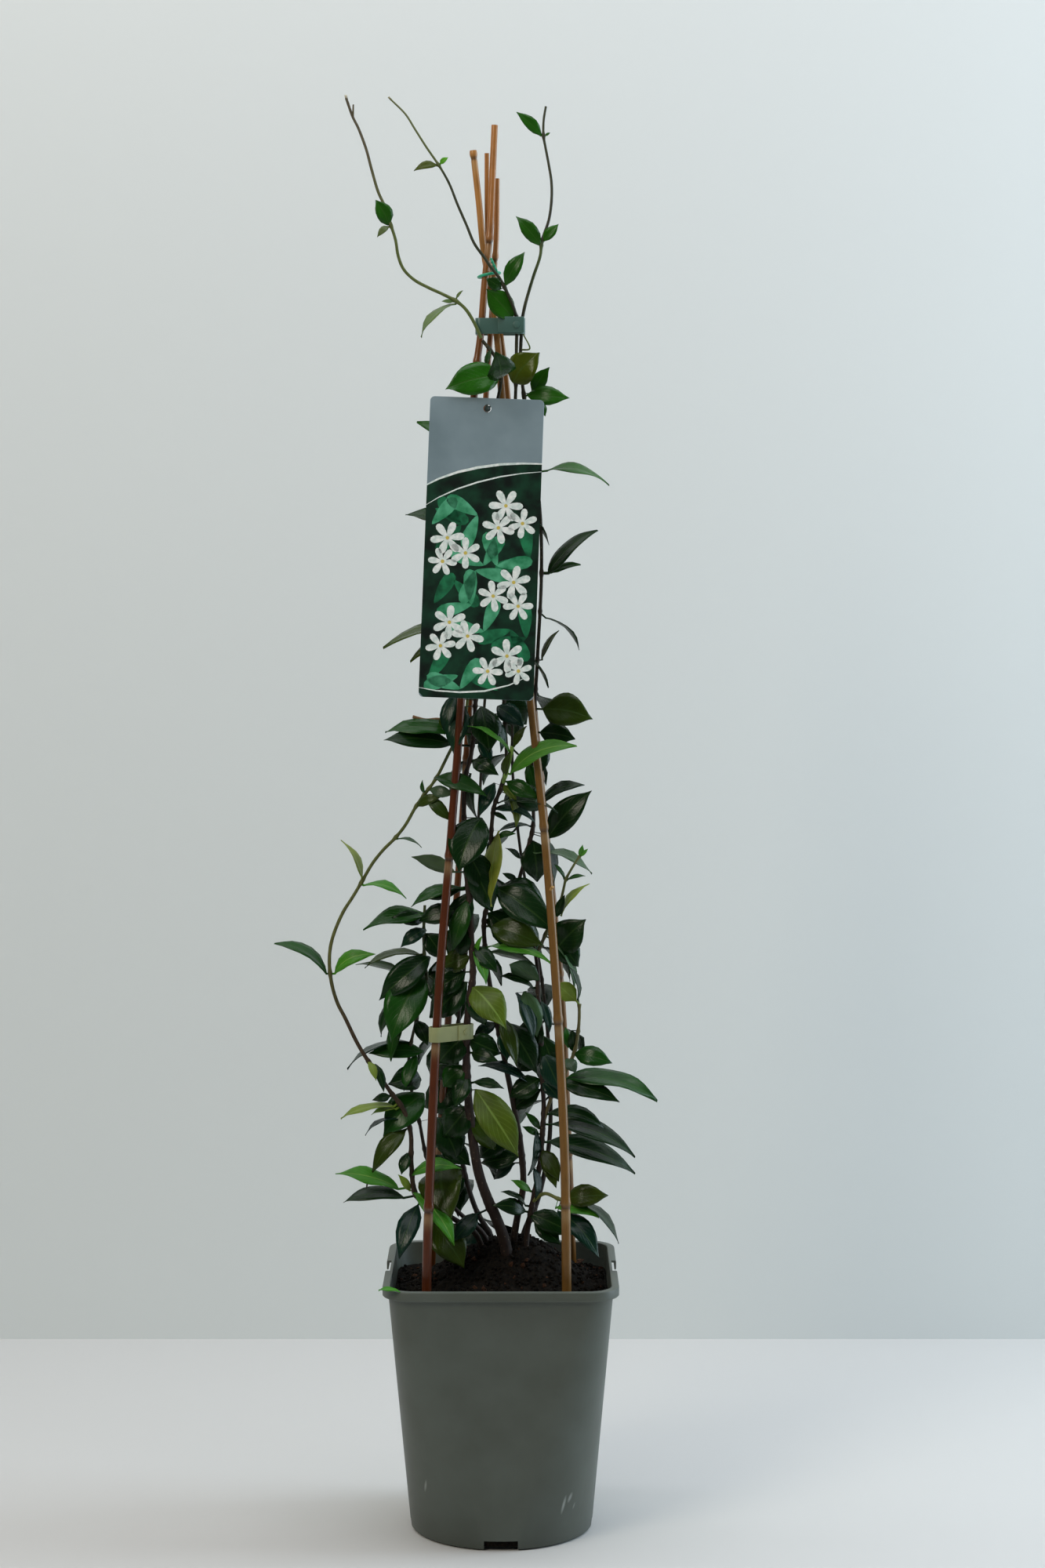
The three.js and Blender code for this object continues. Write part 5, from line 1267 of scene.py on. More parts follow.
# %% Smaller leaves
JOINED_LEAVES = {
    # by stem: base x and z, tip x and z, reach, width seen, arch, tone
    "stem_twining": [
        (-71, 264, -80, 277, -5, 6, 0.08, "pale"), (-70, 277, -31, 282, -14, 11, 0.14, "young"),
        (-68, 263, -36, 222, -30, 15, 0.1, "young"), (-65, 253, -80, 211, -30, 17, 0.1, "blue"),
        (-86, 339, -100, 336, -6, 7, 0.1, "dark"), (-84, 331, -125, 322, -8, 6, 0.1, "pale"),
        (-82, 329, -101, 325, -4, 4, 0.1, "pale"), (-80, 321, -106, 308, -6, 3, 0.16, "blue"),
        (-73, 294, -78, 277, -8, 9, 0.1, "dark"), (-103, 366, -97, 351, -10, 6, 0.1, "pale"),
        (-98, 364, -91, 342, -8, 7, 0.1, "dark"), (-135, 435, -175, 459, -10, 9, 0.14, "mid"),
        (-129, 435, -97, 450, -8, 11, 0.25, "young"), (-106, 504, -73, 494, -6, 6, 0.16, "young"),
        (-107, 508, -123, 539, -4, 5, 0.1, "pale"), (-80, 540, -61, 534, -3, 2, 0.1, "mid"),
        (-65, 565, -45, 573, -8, 8, 0.14, "olive"), (-59, 574, -61, 585, -2, 3, 0.1, "mid"),
        (-55, 578, -36, 574, -8, 9, 0.1, "grey"), (-57, 573, -38, 553, -10, 10, 0.1, "olive"),
    ],
    "stem_main": [
        (-19, 246, -38, 224, -18, 14, 0.1, "blue"), (-21, 350, 2, 345, -12, 8, 0.1, "dark"),
        (-23, 373, -3, 367, -14, 12, 0.1, "dark"), (-32, 502, -70, 487, -2, 9, 0.14, "mid"),
        (-21, 452, -11, 427, -18, 9, 0.1, "young"), (-20, 450, -15, 464, -5, 4, 0.1, "young"),
        (-20, 456, -3, 436, -12, 14, 0.1, "dark"), (-36, 514, -69, 526, 8, -12, 0.1, "grey"),
        (-22, 600, -2, 589, -14, 13, 0.2, "dark"), (-34, 622, -89, 624, -8, 12, 0.1, "mid"),
        (-34, 652, -44, 620, -10, 12, 0.1, "blue"), (-32, 648, -49, 623, -6, 9, 0.1, "olive"),
        (-28, 642, -37, 606, -16, 18, 0.1, "blue"), (-17, 616, -8, 597, -8, 10, 0.1, "blue"),
        (-15, 642, -9, 606, -12, 24, 0.1, "dark"), (-14, 838, -64, 860, 2, 14, 0.08, "mid"),
        (-18, 778, -73, 789, 0, 13, 0.06, "dark"), (-24, 702, -91, 689, -4, 9, 0.1, "olive"),
        (-24, 690, -70, 677, -6, 9, 0.2, "olive"), (-1, 892, -3, 911, -34, 22, 0.1, "dark"),
        (-8, 915, -11, 899, -4, 4, 0.08, "dark"), (-24, 322, -4, 296, 8, 20, 0.1, "olive"),
        (-26, 330, -46, 306, 6, 25, 0.1, "dark"), (-27, 428, -56, 400, 6, 25, 0.1, "dark"),
        (-28, 436, -56, 418, 4, 20, 0.1, "dark"), (-28, 386, -50, 364, 4, 25, 0.1, "dark"),
        (-28, 362, -46, 346, 4, 18, 0.1, "mid"), (-26, 354, -36, 330, -10, 15, 0.1, "dark"),
        (-26, 384, 0, 372, 6, 19, 0.1, "dark"), (-26, 420, -12, 394, 4, 18, 0.1, "dark"),
        (-25, 448, -46, 440, 6, 18, 0.1, "olive"), (-24, 498, -38, 462, 4, 20, 0.1, "dark"),
        (-26, 492, -38, 452, -6, 15, 0.1, "mid"), (-24, 470, -42, 448, 6, 22, 0.1, "dark"),
        (-24, 520, -6, 482, 6, 22, 0.1, "dark"), (-26, 530, -10, 498, 4, 22, 0.1, "dark"),
        (-34, 484, -64, 476, 4, 16, 0.1, "dark"), (-32, 500, -60, 494, 6, 10, 0.1, "dark"),
        (-24, 590, -20, 556, 4, 8, 0.1, "dark"),
    ],
    "stem_second": [
        (-76, 402, -86, 366, -14, 10, 0.1, "mid"), (-80, 419, -95, 386, -6, 8, 0.1, "dark"),
        (-66, 371, -76, 343, -18, 11, 0.1, "mid"), (-74, 382, -120, 361, -5, 4, 0.12, "blue"),
        (-66, 398, -57, 379, -12, 12, 0.1, "dark"), (-63, 450, -106, 441, -6, 6, 0.12, "olive"),
        (-70, 430, -112, 444, -2, -6, 0.1, "grey"), (-58, 469, -78, 455, -6, 11, 0.28, "blue"),
        (-60, 476, -84, 479, -14, 12, 0.1, "dark"), (-50, 322, -33, 286, -10, 25, 0.1, "dark"),
        (-46, 300, -24, 284, -14, 18, 0.1, "dark"), (-58, 292, -36, 268, -6, 20, 0.1, "dark"),
        (-58, 466, -44, 446, -4, 18, 0.1, "dark"),
    ],
    "stem_right": [
        (22, 349, -17, 364, -10, 8, 0.1, "blue"), (19, 253, 0, 264, -8, 4, 0.12, "dark"),
        (19, 248, -6, 253, -16, 13, 0.1, "dark"), (23, 264, 8, 273, -8, 6, 0.1, "young"),
        (33, 290, 43, 267, -16, 11, 0.1, "olive"), (27, 313, 21, 276, -12, 6, 0.1, "blue"),
        (25, 283, 28, 258, -12, 6, 0.1, "blue"), (36, 325, 81, 313, -10, 12, 0.16, "dark"),
        (30, 313, 19, 326, -4, 6, 0.1, "mid"), (29, 309, 17, 315, -8, 6, 0.1, "mid"),
        (32, 296, 45, 272, -14, 14, 0.1, "olive"), (29, 430, 6, 442, -14, -17, 0.12, "grey"),
        (25, 424, -2, 433, -10, 6, 0.1, "dark"), (18, 421, 28, 385, -10, 18, 0.1, "grey"),
        (12, 420, 26, 383, -16, 10, 0.1, "blue"), (31, 413, 38, 389, -6, 8, 0.1, "blue"),
        (12, 508, 1, 513, -6, 5, 0.1, "dark"), (22, 550, -3, 546, -8, 4, 0.1, "blue"),
        (16, 524, 4, 533, -6, 4, 0.1, "dark"), (30, 567, 64, 582, -6, 9, 0.18, "dark"),
        (31, 544, 41, 503, -8, 6, 0.08, "dark"), (25, 538, 28, 506, 2, 24, 0.1, "dark"),
        (27, 529, 71, 515, -2, 6, 0.12, "grey"), (30, 622, 57, 617, -8, 18, 0.1, "dark"),
        (29, 615, 31, 590, -6, 14, 0.1, "dark"), (21, 598, 27, 573, -4, 12, 0.1, "mid"),
        (38, 745, 61, 751, -4, 6, 0.1, "mid"), (31, 678, 43, 701, -4, 4, 0.05, "olive"),
        (20, 880, 52, 878, -12, 15, 0.1, "mid"), (24, 881, 37, 901, -8, 12, 0.08, "mid"),
        (30, 874, 34, 864, -8, 7, 0.08, "mid"), (22, 246, 56, 230, -6, 18, 0.1, "dark"),
        (26, 240, 46, 222, -8, 15, 0.1, "dark"), (30, 352, 6, 338, -6, 18, 0.1, "dark"),
        (30, 344, 8, 328, 4, 15, 0.1, "dark"), (32, 386, 45, 350, 6, 20, 0.1, "dark"),
        (33, 372, 46, 342, -8, 18, 0.1, "blue"), (32, 350, 45, 336, -8, 11, 0.1, "blue"),
        (30, 400, 16, 372, 8, 22, 0.1, "dark"), (30, 380, 12, 358, 8, 20, 0.1, "dark"),
    ],
    "stem_middle": [
        (0, 401, 12, 362, -16, 13, 0.1, "olive"), (5, 396, 28, 357, -10, 22, 0.1, "dark"),
        (-8, 452, 27, 441, -8, -7, 0.1, "grey"), (-5, 583, -17, 558, -10, 11, 0.1, "blue"),
        (4.5, 584, 29, 571, -12, 13, 0.1, "mid"), (2, 581, 12, 569, -10, 8, 0.1, "yellow"),
        (7, 574, 12, 549, -8, 7, 0.1, "yellow"), (-2, 568, 44, 561, -14, 6, 0.12, "dark"),
        (-5, 563, 26, 555, -10, 7, 0.14, "blue"), (-6, 560, 5, 554, -6, 4, 0.1, "dark"),
        (-4, 540, 11, 544, -6, 5, 0.1, "mid"), (-3, 642, 17, 627, -14, 16, 0.1, "blue"),
        (-1, 630, 1, 607, -10, 6, 0.1, "blue"), (14, 292, -16, 286, 12, 16, 0.1, "dark"),
        (10, 286, -6, 273, 10, 8, 0.1, "blue"), (6, 306, -18, 290, 8, 18, 0.1, "dark"),
        (-4, 396, -22, 384, -6, 10, 0.1, "blue"), (0, 388, 5, 367, -16, 11, 0.1, "blue"),
        (-10, 482, 32, 450, 6, 32, 0.1, "dark"), (-4, 500, 36, 486, 6, 28, 0.1, "dark"),
        (-12, 476, 24, 468, 8, 25, 0.1, "olive"), (-6, 636, -26, 612, 8, 22, 0.1, "dark"),
        (2, 648, 20, 628, 4, 25, 0.1, "dark"), (6, 576, 35, 563, 9, 20, 0.1, "dark"),
    ],
    "shoot_low_right": [
        (50, 258, 83, 261, -8, 18, 0.14, "olive"), (54, 257, 92, 223, -10, 6, 0.16, "dark"),
        (42, 251, 76, 244, -18, 9, 0.1, "young"),
    ],
    "shoot_hanging_right": [
        (57, 372, 86, 365, -10, 16, 0.14, "mid"), (52, 377, 50, 393, 4, 7, 0.1, "mid"),
        (50, 368, 58, 357, -10, 10, 0.1, "grey"), (55, 390, 57, 372, 6, 9, 0.1, "dark"),
        (58, 414, 42, 427, -6, -15, 0.1, "pale"), (60, 415, 53, 441, -5, 4, 0.1, "dark"),
    ],
    "shoot_bud_right": [
        (43, 479, 49, 496, -6, 7, 0.08, "dark"), (46, 480, 68, 505, -4, 5, 0.14, "pale"),
        (40, 462, 59, 425, -8, 6, 0.1, "grey"), (51, 508, 65, 511, -4, 3, 0.1, "mid"),
        (49, 509, 41, 520, 2, 3, 0.1, "mid"), (60.5, 526, 63, 535, -2, 4, 0.1, "young"),
        (61, 526, 67, 532, -2, 3, 0.1, "young"), (44, 462, 60, 440, -4, 19, 0.1, "dark"),
    ],
    "shoot_bright": [
        (7, 607, -25, 628, -5, 4, 0.1, "young"), (9.5, 611, 19, 627, -4, 6, 0.1, "olive"),
        (3, 588, 7, 607, -8, 6, 0.1, "olive"),
    ],
    "shoot_top_middle": [
        (3.5, 963, 18, 988, -6, 12, 0.1, "mid"), (-48, 1053, -66, 1049, -3, 6, 0.2, "olive"),
        (-46, 1054, -40, 1059, -2, 4, 0.2, "young"), (0, 960, -11, 968, -5, 10, 0.1, "dark"),
    ],
    "shoot_top_left": [
        (-35, 949, -62, 925, -4, 5, 0.12, "grey"), (-34, 953, -29, 959, -1, 2, 0.05, "grey"),
        (-36, 950.5, -45, 951, -2, 3, 0.1, "grey"), (-85, 1008, -95, 1027, -5, 13, 0.06, "mid"),
        (-85, 1007, -94, 999, -4, 5, 0.25, "grey"),
    ],
    "shoot_top_right": [
        (30, 993, 12, 1015, -6, 12, 0.08, "mid"), (32, 996, 44, 1009, -4, 8, 0.08, "mid"),
        (31, 1075, 12, 1093, -5, 9, 0.06, "mid"), (33.5, 1075, 37.5, 1077.5, -1, 2, 0.05, "mid"),
    ],
    "stem_back_left": [
        (-10, 232, -40, 224, 8, 25, 0.1, "blue"), (-28, 282, -52, 262, 10, 28, 0.1, "dark"),
        (-34, 300, -54, 322, 10, 25, 0.1, "dark"), (-34, 380, -56, 352, 8, 28, 0.1, "dark"),
        (-34, 346, -60, 330, 8, 28, 0.1, "dark"), (-34, 410, -60, 436, 8, 28, 0.1, "dark"),
    ],
}

# %% Leaves at the back
# stem, lowest pair, highest pair, step, direction of the first pair, leaf length and width
BACK_PAIRS = [
    ("stem_back_left", 246, 640, 30, -62, 52, 25),
    ("stem_back_right", 250, 660, 30, 48, 50, 24),
    ("stem_middle", 690, 880, 52, -30, 42, 16),
    ("stem_right", 655, 860, 60, 25, 40, 15),
]
BACK_TURN = 52
BACK_PAIR_ANGLE = 105
BACK_LIMIT = 95
BACK_STALK = 7
BACK_DROOP = -42


def nearest_on_stem(name, x, z):
    """The closest point of a stem in front view, with the stem's depth there."""
    best = None
    points = STEMS[name]["points"]
    for (x0, z0, depth0), (x1, z1, depth1) in zip(points, points[1:]):
        run = (x1 - x0) ** 2 + (z1 - z0) ** 2
        share = ((x - x0) * (x1 - x0) + (z - z0) * (z1 - z0)) / run
        share = min(0.96, max(0.04, share))
        near = (x0 + (x1 - x0) * share, z0 + (z1 - z0) * share, depth0 + (depth1 - depth0) * share)
        gap = math.hypot(x - near[0], z - near[1])
        if best is None or gap < best[0]:
            best = (gap, near)
    return best[1]


def leaf_from_front(stem, base_x, base_z, tip_x, tip_z, reach, seen, arch, tone):
    """A leaf's stalk, midrib, width and the way its upper face looks."""
    joint = nearest_on_stem(stem, base_x, base_z)
    base = place(base_x, base_z, joint[2] + 0.15 * reach)
    tip = place(tip_x, tip_z, joint[2] + reach)
    length = (tip - base).length
    width = max(abs(seen) * 1.04 * MM, 0.36 * length)
    along = (tip - base).normalized()
    middle = (base + tip) / 2
    across = along.cross((EYE - middle).normalized()).normalized()
    facing = across.cross(along)
    outward = Vector((middle.x, middle.y, 0)).normalized()
    raised = across if across.z + 0.3 * across.dot(outward) >= 0 else -across
    turn = math.acos(min(1, abs(seen) * MM / width))
    normal = facing * math.copysign(math.cos(turn), seen) + raised * math.sin(turn)
    return {
        "stem": stem, "root": place(*joint), "base": base, "tip": tip,
        "normal": normal.normalized(), "width": width, "arch": arch, "tone": tone}


def leaf_at_back(stem, z, azimuth, length, width):
    """A leaf that points away from the eye and a little down."""
    points = STEMS[stem]["points"]
    i = next(k for k in range(1, len(points)) if points[k][1] > z)
    share = (z - points[i - 1][1]) / (points[i][1] - points[i - 1][1])
    x, _, depth = [a + (b - a) * share for a, b in zip(points[i - 1], points[i])]
    turn, droop = math.radians(azimuth), math.radians(BACK_DROOP)
    along = Vector((math.sin(turn) * math.cos(droop), math.cos(turn) * math.cos(droop), math.sin(droop)))
    root = place(x, z, depth)
    base = root + along * BACK_STALK * MM
    up = Vector((along.x / 2, along.y / 2, 1))
    return {
        "stem": stem, "root": root, "base": base, "tip": base + along * length * MM,
        "normal": (up - along * up.dot(along)).normalized(), "width": width * MM, "arch": 0.12,
        "tone": "dark"}


def back_leaves():
    leaves = []
    for stem, low, high, step, azimuth, length, width in BACK_PAIRS:
        for k, z in enumerate(range(low, high + 1, step)):
            turn = azimuth + BACK_TURN * k
            slim = 1 - 0.3 * (z - low) / (high - low)
            for angle in (turn, turn + BACK_PAIR_ANGLE):
                wrapped = (angle + 180) % 360 - 180
                if abs(wrapped) < BACK_LIMIT:
                    leaves.append(leaf_at_back(stem, z, wrapped, length * slim, width * slim))
    return leaves


large_leaves = [leaf_from_front(*row) for row in LARGE_LEAVES]
joined_leaves = [leaf_from_front(stem, *row) for stem, rows in JOINED_LEAVES.items() for row in rows]
joined_leaves += back_leaves()
print(len(large_leaves), "large leaves,", len(joined_leaves), "smaller ones")

# %% [markdown]
# ## One leaf as a model
# The blade is an oval that is widest in its middle and drawn out to a fine tip. It is a grid
# whose rows are pulled to that outline and whose first rows are the stalk. Solidify gives it
# two faces and a rim while it is still flat, because then the thickness is exactly the local
# Z. The upper face and the underside get materials of their own.

# %% Leaf model
OUTLINE = [
    # share of the length, share of the half width
    (0, 0.05), (0.05, 0.24), (0.12, 0.52), (0.22, 0.8), (0.34, 0.96), (0.46, 1.0), (0.58, 0.94),
    (0.7, 0.78), (0.8, 0.54), (0.87, 0.32), (0.93, 0.14), (1, 0.015),
]
STALK_SHARE = -0.2
LARGE_ROWS = (
    STALK_SHARE, -0.1, 0, 0.04, 0.1, 0.18, 0.27, 0.36, 0.46, 0.56, 0.66, 0.75, 0.83, 0.9, 0.95, 1)
SMALL_ROWS = (STALK_SHARE, 0, 0.08, 0.24, 0.42, 0.6, 0.76, 0.88, 1)


def half_width(share):
    return float(np.interp(share, [row[0] for row in OUTLINE], [row[1] for row in OUTLINE]))


def leaf_model(name, rows, cells):
    """A flat leaf: x from -1 to 1 across, y along with the stalk below 0, z down to -1."""
    clear_selection()
    bpy.ops.mesh.primitive_grid_add(x_subdivisions=cells, y_subdivisions=len(rows) - 1, size=2)
    model = bpy.context.object
    model.name = name
    for vertex in model.data.vertices:
        row = round((vertex.co.y + 1) / 2 * (len(rows) - 1))
        vertex.co.y = rows[row]
    for loop in model.data.loops:
        x, y, _ = model.data.vertices[loop.vertex_index].co
        model.data.uv_layers[0].data[loop.index].uv = ((x + 1) / 2, y)
    apply_modifier(model, "SOLIDIFY", thickness=1, offset=-1)
    for polygon in model.data.polygons:
        polygon.material_index = 0 if polygon.normal.z > 0.5 else 1
    bpy.ops.object.shade_smooth()
    return model


large_model = leaf_model("large leaf model", LARGE_ROWS, 6)
small_model = leaf_model("small leaf model", SMALL_ROWS, 4)
print("faces of a small leaf:", len(small_model.data.polygons))

# %% [markdown]
# ## Laying a leaf in its place
# The flat model is mapped onto each leaf's own midrib. The midrib arches, the two halves fold
# up from it like a shallow V, the margin ripples, the tip hangs and the blade twists a little,
# each by an amount that a seeded dice picks for that leaf. The blade is 0.4 mm thick with a
# rib below, and the stalk is 1.3 mm. Leaves near the top are painted brighter and more yellow:
# painted light, for the stronger light up there, together with the paler newer growth.

# %% Leaf mapping
BLADE = 0.4
RIB = 0.55
STALK = 1.3
# How much brighter and yellower the top leaves are painted: painted light from above, with paler new growth
LIGHT_AND_GROWTH_AT_TOP = (1.0, 0.75, 0.1)
dice = random.Random(731)


def lay_leaf(name, model, leaf):
    """A copy of the model with its own mesh, bent to its place on the plant."""
    flat = np.empty(len(model.data.vertices) * 3)
    model.data.vertices.foreach_get("co", flat)
    x, y, below = flat.reshape(-1, 3).T
    t = np.clip(y, 0, 1)
    root, base, tip = (np.array(leaf[key]) for key in ("root", "base", "tip"))
    normal = np.array(leaf["normal"])
    along = (tip - base) / np.linalg.norm(tip - base)
    length = np.linalg.norm(tip - base)
    side = np.cross(along, normal)
    fold = dice.uniform(0.08, 0.3)
    twist = dice.uniform(-0.22, 0.22)
    ripple = dice.uniform(0.02, 0.07)
    phase = dice.uniform(0, 6.28)
    waves = dice.uniform(2.2, 3.6)
    droop = dice.uniform(0.0, 0.07)
    sway = dice.uniform(-0.04, 0.04)
    rise = leaf["arch"] * 4 * t * (1 - t) - droop * t ** 4
    spine = base + np.outer(length * t, along) + np.outer(length * rise, normal)
    spine = spine + np.outer(length * sway * np.sin(math.pi * t), side)
    stalk = y < 0
    climb = (y[stalk] - STALK_SHARE) / -STALK_SHARE
    spine[stalk] = root + np.outer(climb, base - root)
    angle = twist * (t - 0.35)
    across = np.outer(np.cos(angle), side) + np.outer(np.sin(angle), normal)
    lift = np.outer(np.cos(angle), normal) - np.outer(np.sin(angle), side)
    reach = np.array([half_width(share) for share in t]) * leaf["width"] / 2
    reach[y <= 0] = STALK / 2 * MM
    up = fold * (np.abs(x) - 0.4 * x ** 2) * reach
    up = up + ripple * leaf["width"] * x ** 2 * np.sin(waves * math.pi * t + phase + x)
    up[y <= 0] = 0
    depth = (BLADE + RIB * np.exp(-((x / 0.2) ** 2)) * (1 - t)) * MM
    depth[y <= 0] = STALK * MM
    places = spine + across * (x * reach)[:, None] + lift * (up + below * depth)[:, None]
    mesh = model.data.copy()
    mesh.vertices.foreach_set("co", places.ravel())
    mesh.update()
    # Painted light: from 0.6 m up, leaves get a brighter, yellower colour for the light on the top, mixed
    # with paler new growth
    top_share = np.interp(base[2], (0.6, 0.9), (0.0, 1.0))
    shade = [
        value * dice.uniform(0.88, 1.12) * (1 + share * top_share)
        for value, share in zip(linear(TONES[leaf["tone"]]), LIGHT_AND_GROWTH_AT_TOP)] + [1.0]
    attribute = mesh.color_attributes.new("tone", "FLOAT_COLOR", "POINT")
    attribute.data.foreach_set("color", np.tile(shade, len(places)))
    piece = bpy.data.objects.new(name, mesh)
    bpy.context.collection.objects.link(piece)
    return piece


# The dark blue-green tone is dark green with a painted bluish reflection of the sky in its colour
TONES = {
    "dark": "#0d290c", "mid": "#17430e", "olive": "#2d3c0d", "yellow": "#4c5a14",
    "young": "#3a7a1e", "pale": "#7b8b33", "blue": "#0e2c20", "grey": "#3e573a",
}

# %% [markdown]
# ** A waxy evergreen leaf.** The upper face has a thick cuticle, so it shines like satin
# varnish and mirrors the pale sky in bluish patches; on some leaves that bluish sheen is also
# painted into the colour, as a dark blue-green tone. The midrib is pale and six or seven side
# veins leave it on each side, slanting forward. The underside is dull, paler and
# greyer. Young leaves are thinner, brighter and less glossy, and light comes through them.

# %% Leaf materials
VEIN_PAIRS = 6.5
VEIN_SLANT = 0.85


def leaf_skin(name, inputs, vein_colour, vein_share, cast=None):
    """A leaf surface: its own tone, pale veins from the UV map, and a faint unevenness."""
    material, tree, shader = new_material(name, inputs)
    uv = add(tree, "ShaderNodeUVMap").outputs["UV"]
    parts = add(tree, "ShaderNodeSeparateXYZ", None, {"Vector": uv})
    tone = add(tree, "ShaderNodeVertexColor", {"layer_name": "tone"}).outputs["Color"]
    if cast:
        tone = add(tree, "ShaderNodeMix", {"data_type": "RGBA"}, {
            0: cast[1], 6: tone, 7: cast[0]}).outputs[2]
    off = add(tree, "ShaderNodeMath", {"operation": "SUBTRACT"}, {0: parts.outputs["X"], 1: 0.5})
    off = add(tree, "ShaderNodeMath", {"operation": "ABSOLUTE"}, {0: off.outputs[0]}).outputs[0]
    midrib = add(tree, "ShaderNodeMapRange", None, {
        "Value": off, "From Min": 0.045, "From Max": 0.015}).outputs["Result"]
    slanted = add(tree, "ShaderNodeMath", {"operation": "MULTIPLY_ADD"}, {
        0: off, 1: -VEIN_SLANT, 2: parts.outputs["Y"]})
    count = add(tree, "ShaderNodeMath", {"operation": "MULTIPLY"}, {
        0: slanted.outputs[0], 1: VEIN_PAIRS * 1.3})
    saw = add(tree, "ShaderNodeMath", {"operation": "PINGPONG"}, {0: count.outputs[0], 1: 0.5})
    side_vein = add(tree, "ShaderNodeMapRange", None, {
        "Value": saw.outputs[0], "From Min": 0.09, "From Max": 0.0, "To Max": 0.5})
    veins = add(tree, "ShaderNodeMath", {"operation": "MAXIMUM"}, {
        0: midrib, 1: side_vein.outputs["Result"]})
    share = add(tree, "ShaderNodeMath", {"operation": "MULTIPLY"}, {
        0: veins.outputs[0], 1: vein_share})
    where = add(tree, "ShaderNodeTexCoord").outputs["Object"]
    clouds = add(tree, "ShaderNodeTexNoise", None, {"Vector": where, "Scale": 70.0, "Detail": 3.0})
    value = add(tree, "ShaderNodeMapRange", None, {
        "Value": clouds.outputs["Fac"], "From Min": 0.3, "From Max": 0.7, "To Min": 0.82,
        "To Max": 1.16})
    cloudy = add(tree, "ShaderNodeHueSaturation", None, {
        "Value": value.outputs["Result"], "Color": tone})
    colour = add(tree, "ShaderNodeMix", {"data_type": "RGBA"}, {
        0: share.outputs[0], 6: cloudy.outputs["Color"], 7: vein_colour})
    fine = add(tree, "ShaderNodeTexNoise", None, {"Vector": where, "Scale": 900.0, "Detail": 2.0})
    height = add(tree, "ShaderNodeMath", {"operation": "MULTIPLY_ADD"}, {
        0: veins.outputs[0], 1: -0.8, 2: fine.outputs["Fac"]})
    bump = add(tree, "ShaderNodeBump", None, {
        "Strength": 0.25, "Distance": 0.0004, "Height": height.outputs[0]})
    connect(tree, shader, base_color=colour.outputs[2], normal=bump.outputs["Normal"])
    return material


mature_top = leaf_skin("waxy mature leaf, upper face", {
    "Roughness": 0.22, "Specular IOR Level": 0.22},
    "#3f5a2a", 0.35)
young_top = leaf_skin("soft young leaf, upper face", {
    "Roughness": 0.38, "Specular IOR Level": 0.22, "Subsurface Weight": 0.12,
    "Subsurface Radius": (0.0012, 0.002, 0.0006), "Subsurface Scale": 1.0},
    "#8fae55", 0.4)
underside = leaf_skin("dull leaf underside", {
    "Roughness": 0.6, "Specular IOR Level": 0.2}, "#62764a", 0.4, cast=("#3f5338", 0.4))

# %% [markdown]
# ## All the leaves
# Each large leaf is a piece of its own. The smaller leaves of a stem are laid one by one and
# joined, because they are one with the stem. The same small model, laid flat, also gives the
# torn leaf on the front left corner of the rim and a flake of dead bark on the soil.

# %% Large leaves on the plant
BRIGHT = ("young", "yellow", "pale")


def leaf_materials(tone):
    return [young_top if tone in BRIGHT else mature_top, underside]


for k, leaf in enumerate(large_leaves):
    name = f"leaf_{k + 1:02d}"
    finish_piece(
        lay_leaf(name.replace("_", " "), large_model, leaf), [name],
        leaf_materials(leaf["tone"]))

# %% Smaller leaves on their stems
for stem in STEMS:
    for bright in (False, True):
        own = [
            leaf for leaf in joined_leaves
            if leaf["stem"] == stem and (leaf["tone"] in BRIGHT) == bright]
        if own:
            kind = "young leaves of " if bright else "leaves of "
            blades = [lay_leaf("leaf", small_model, leaf) for leaf in own]
            piece = join(blades, kind + stem.replace("_", " "))
            finish_piece(
                piece, [],
                leaf_materials("young" if bright else "mid"))

# %% Fallen bits
FALLEN = [
    # name, tone, foot and tip in millimetres, width
    ("torn leaf on the rim", "young", (-92, -87, 206.8), (-75.5, -88, 205.8), 6),
    ("dead bark on the soil", "olive", (56, 58, 191.5), (66, 62, 195.5), 6),
]
for name, tone, foot, tip, width in FALLEN:
    foot, tip = Vector(foot) * MM, Vector(tip) * MM
    bit = lay_leaf(name, small_model, {
        "root": foot, "base": foot, "tip": tip, "normal": Vector((0, -0.3, 1)).normalized(),
        "width": width * MM, "arch": 0.1, "tone": tone})
    on_rim = name.endswith("rim")
    finish_piece(
        bit, [],
        leaf_materials("young") if on_rim else [bark_chip, bark_chip])
bpy.data.objects.remove(large_model)
bpy.data.objects.remove(small_model)

# %% [markdown]
# ## Stems with their nodes
# Now that the leaf joints are known, each stem gets a little collar at every joint. Its colour
# is picked by height, from bark to the green skin of the newest growth.

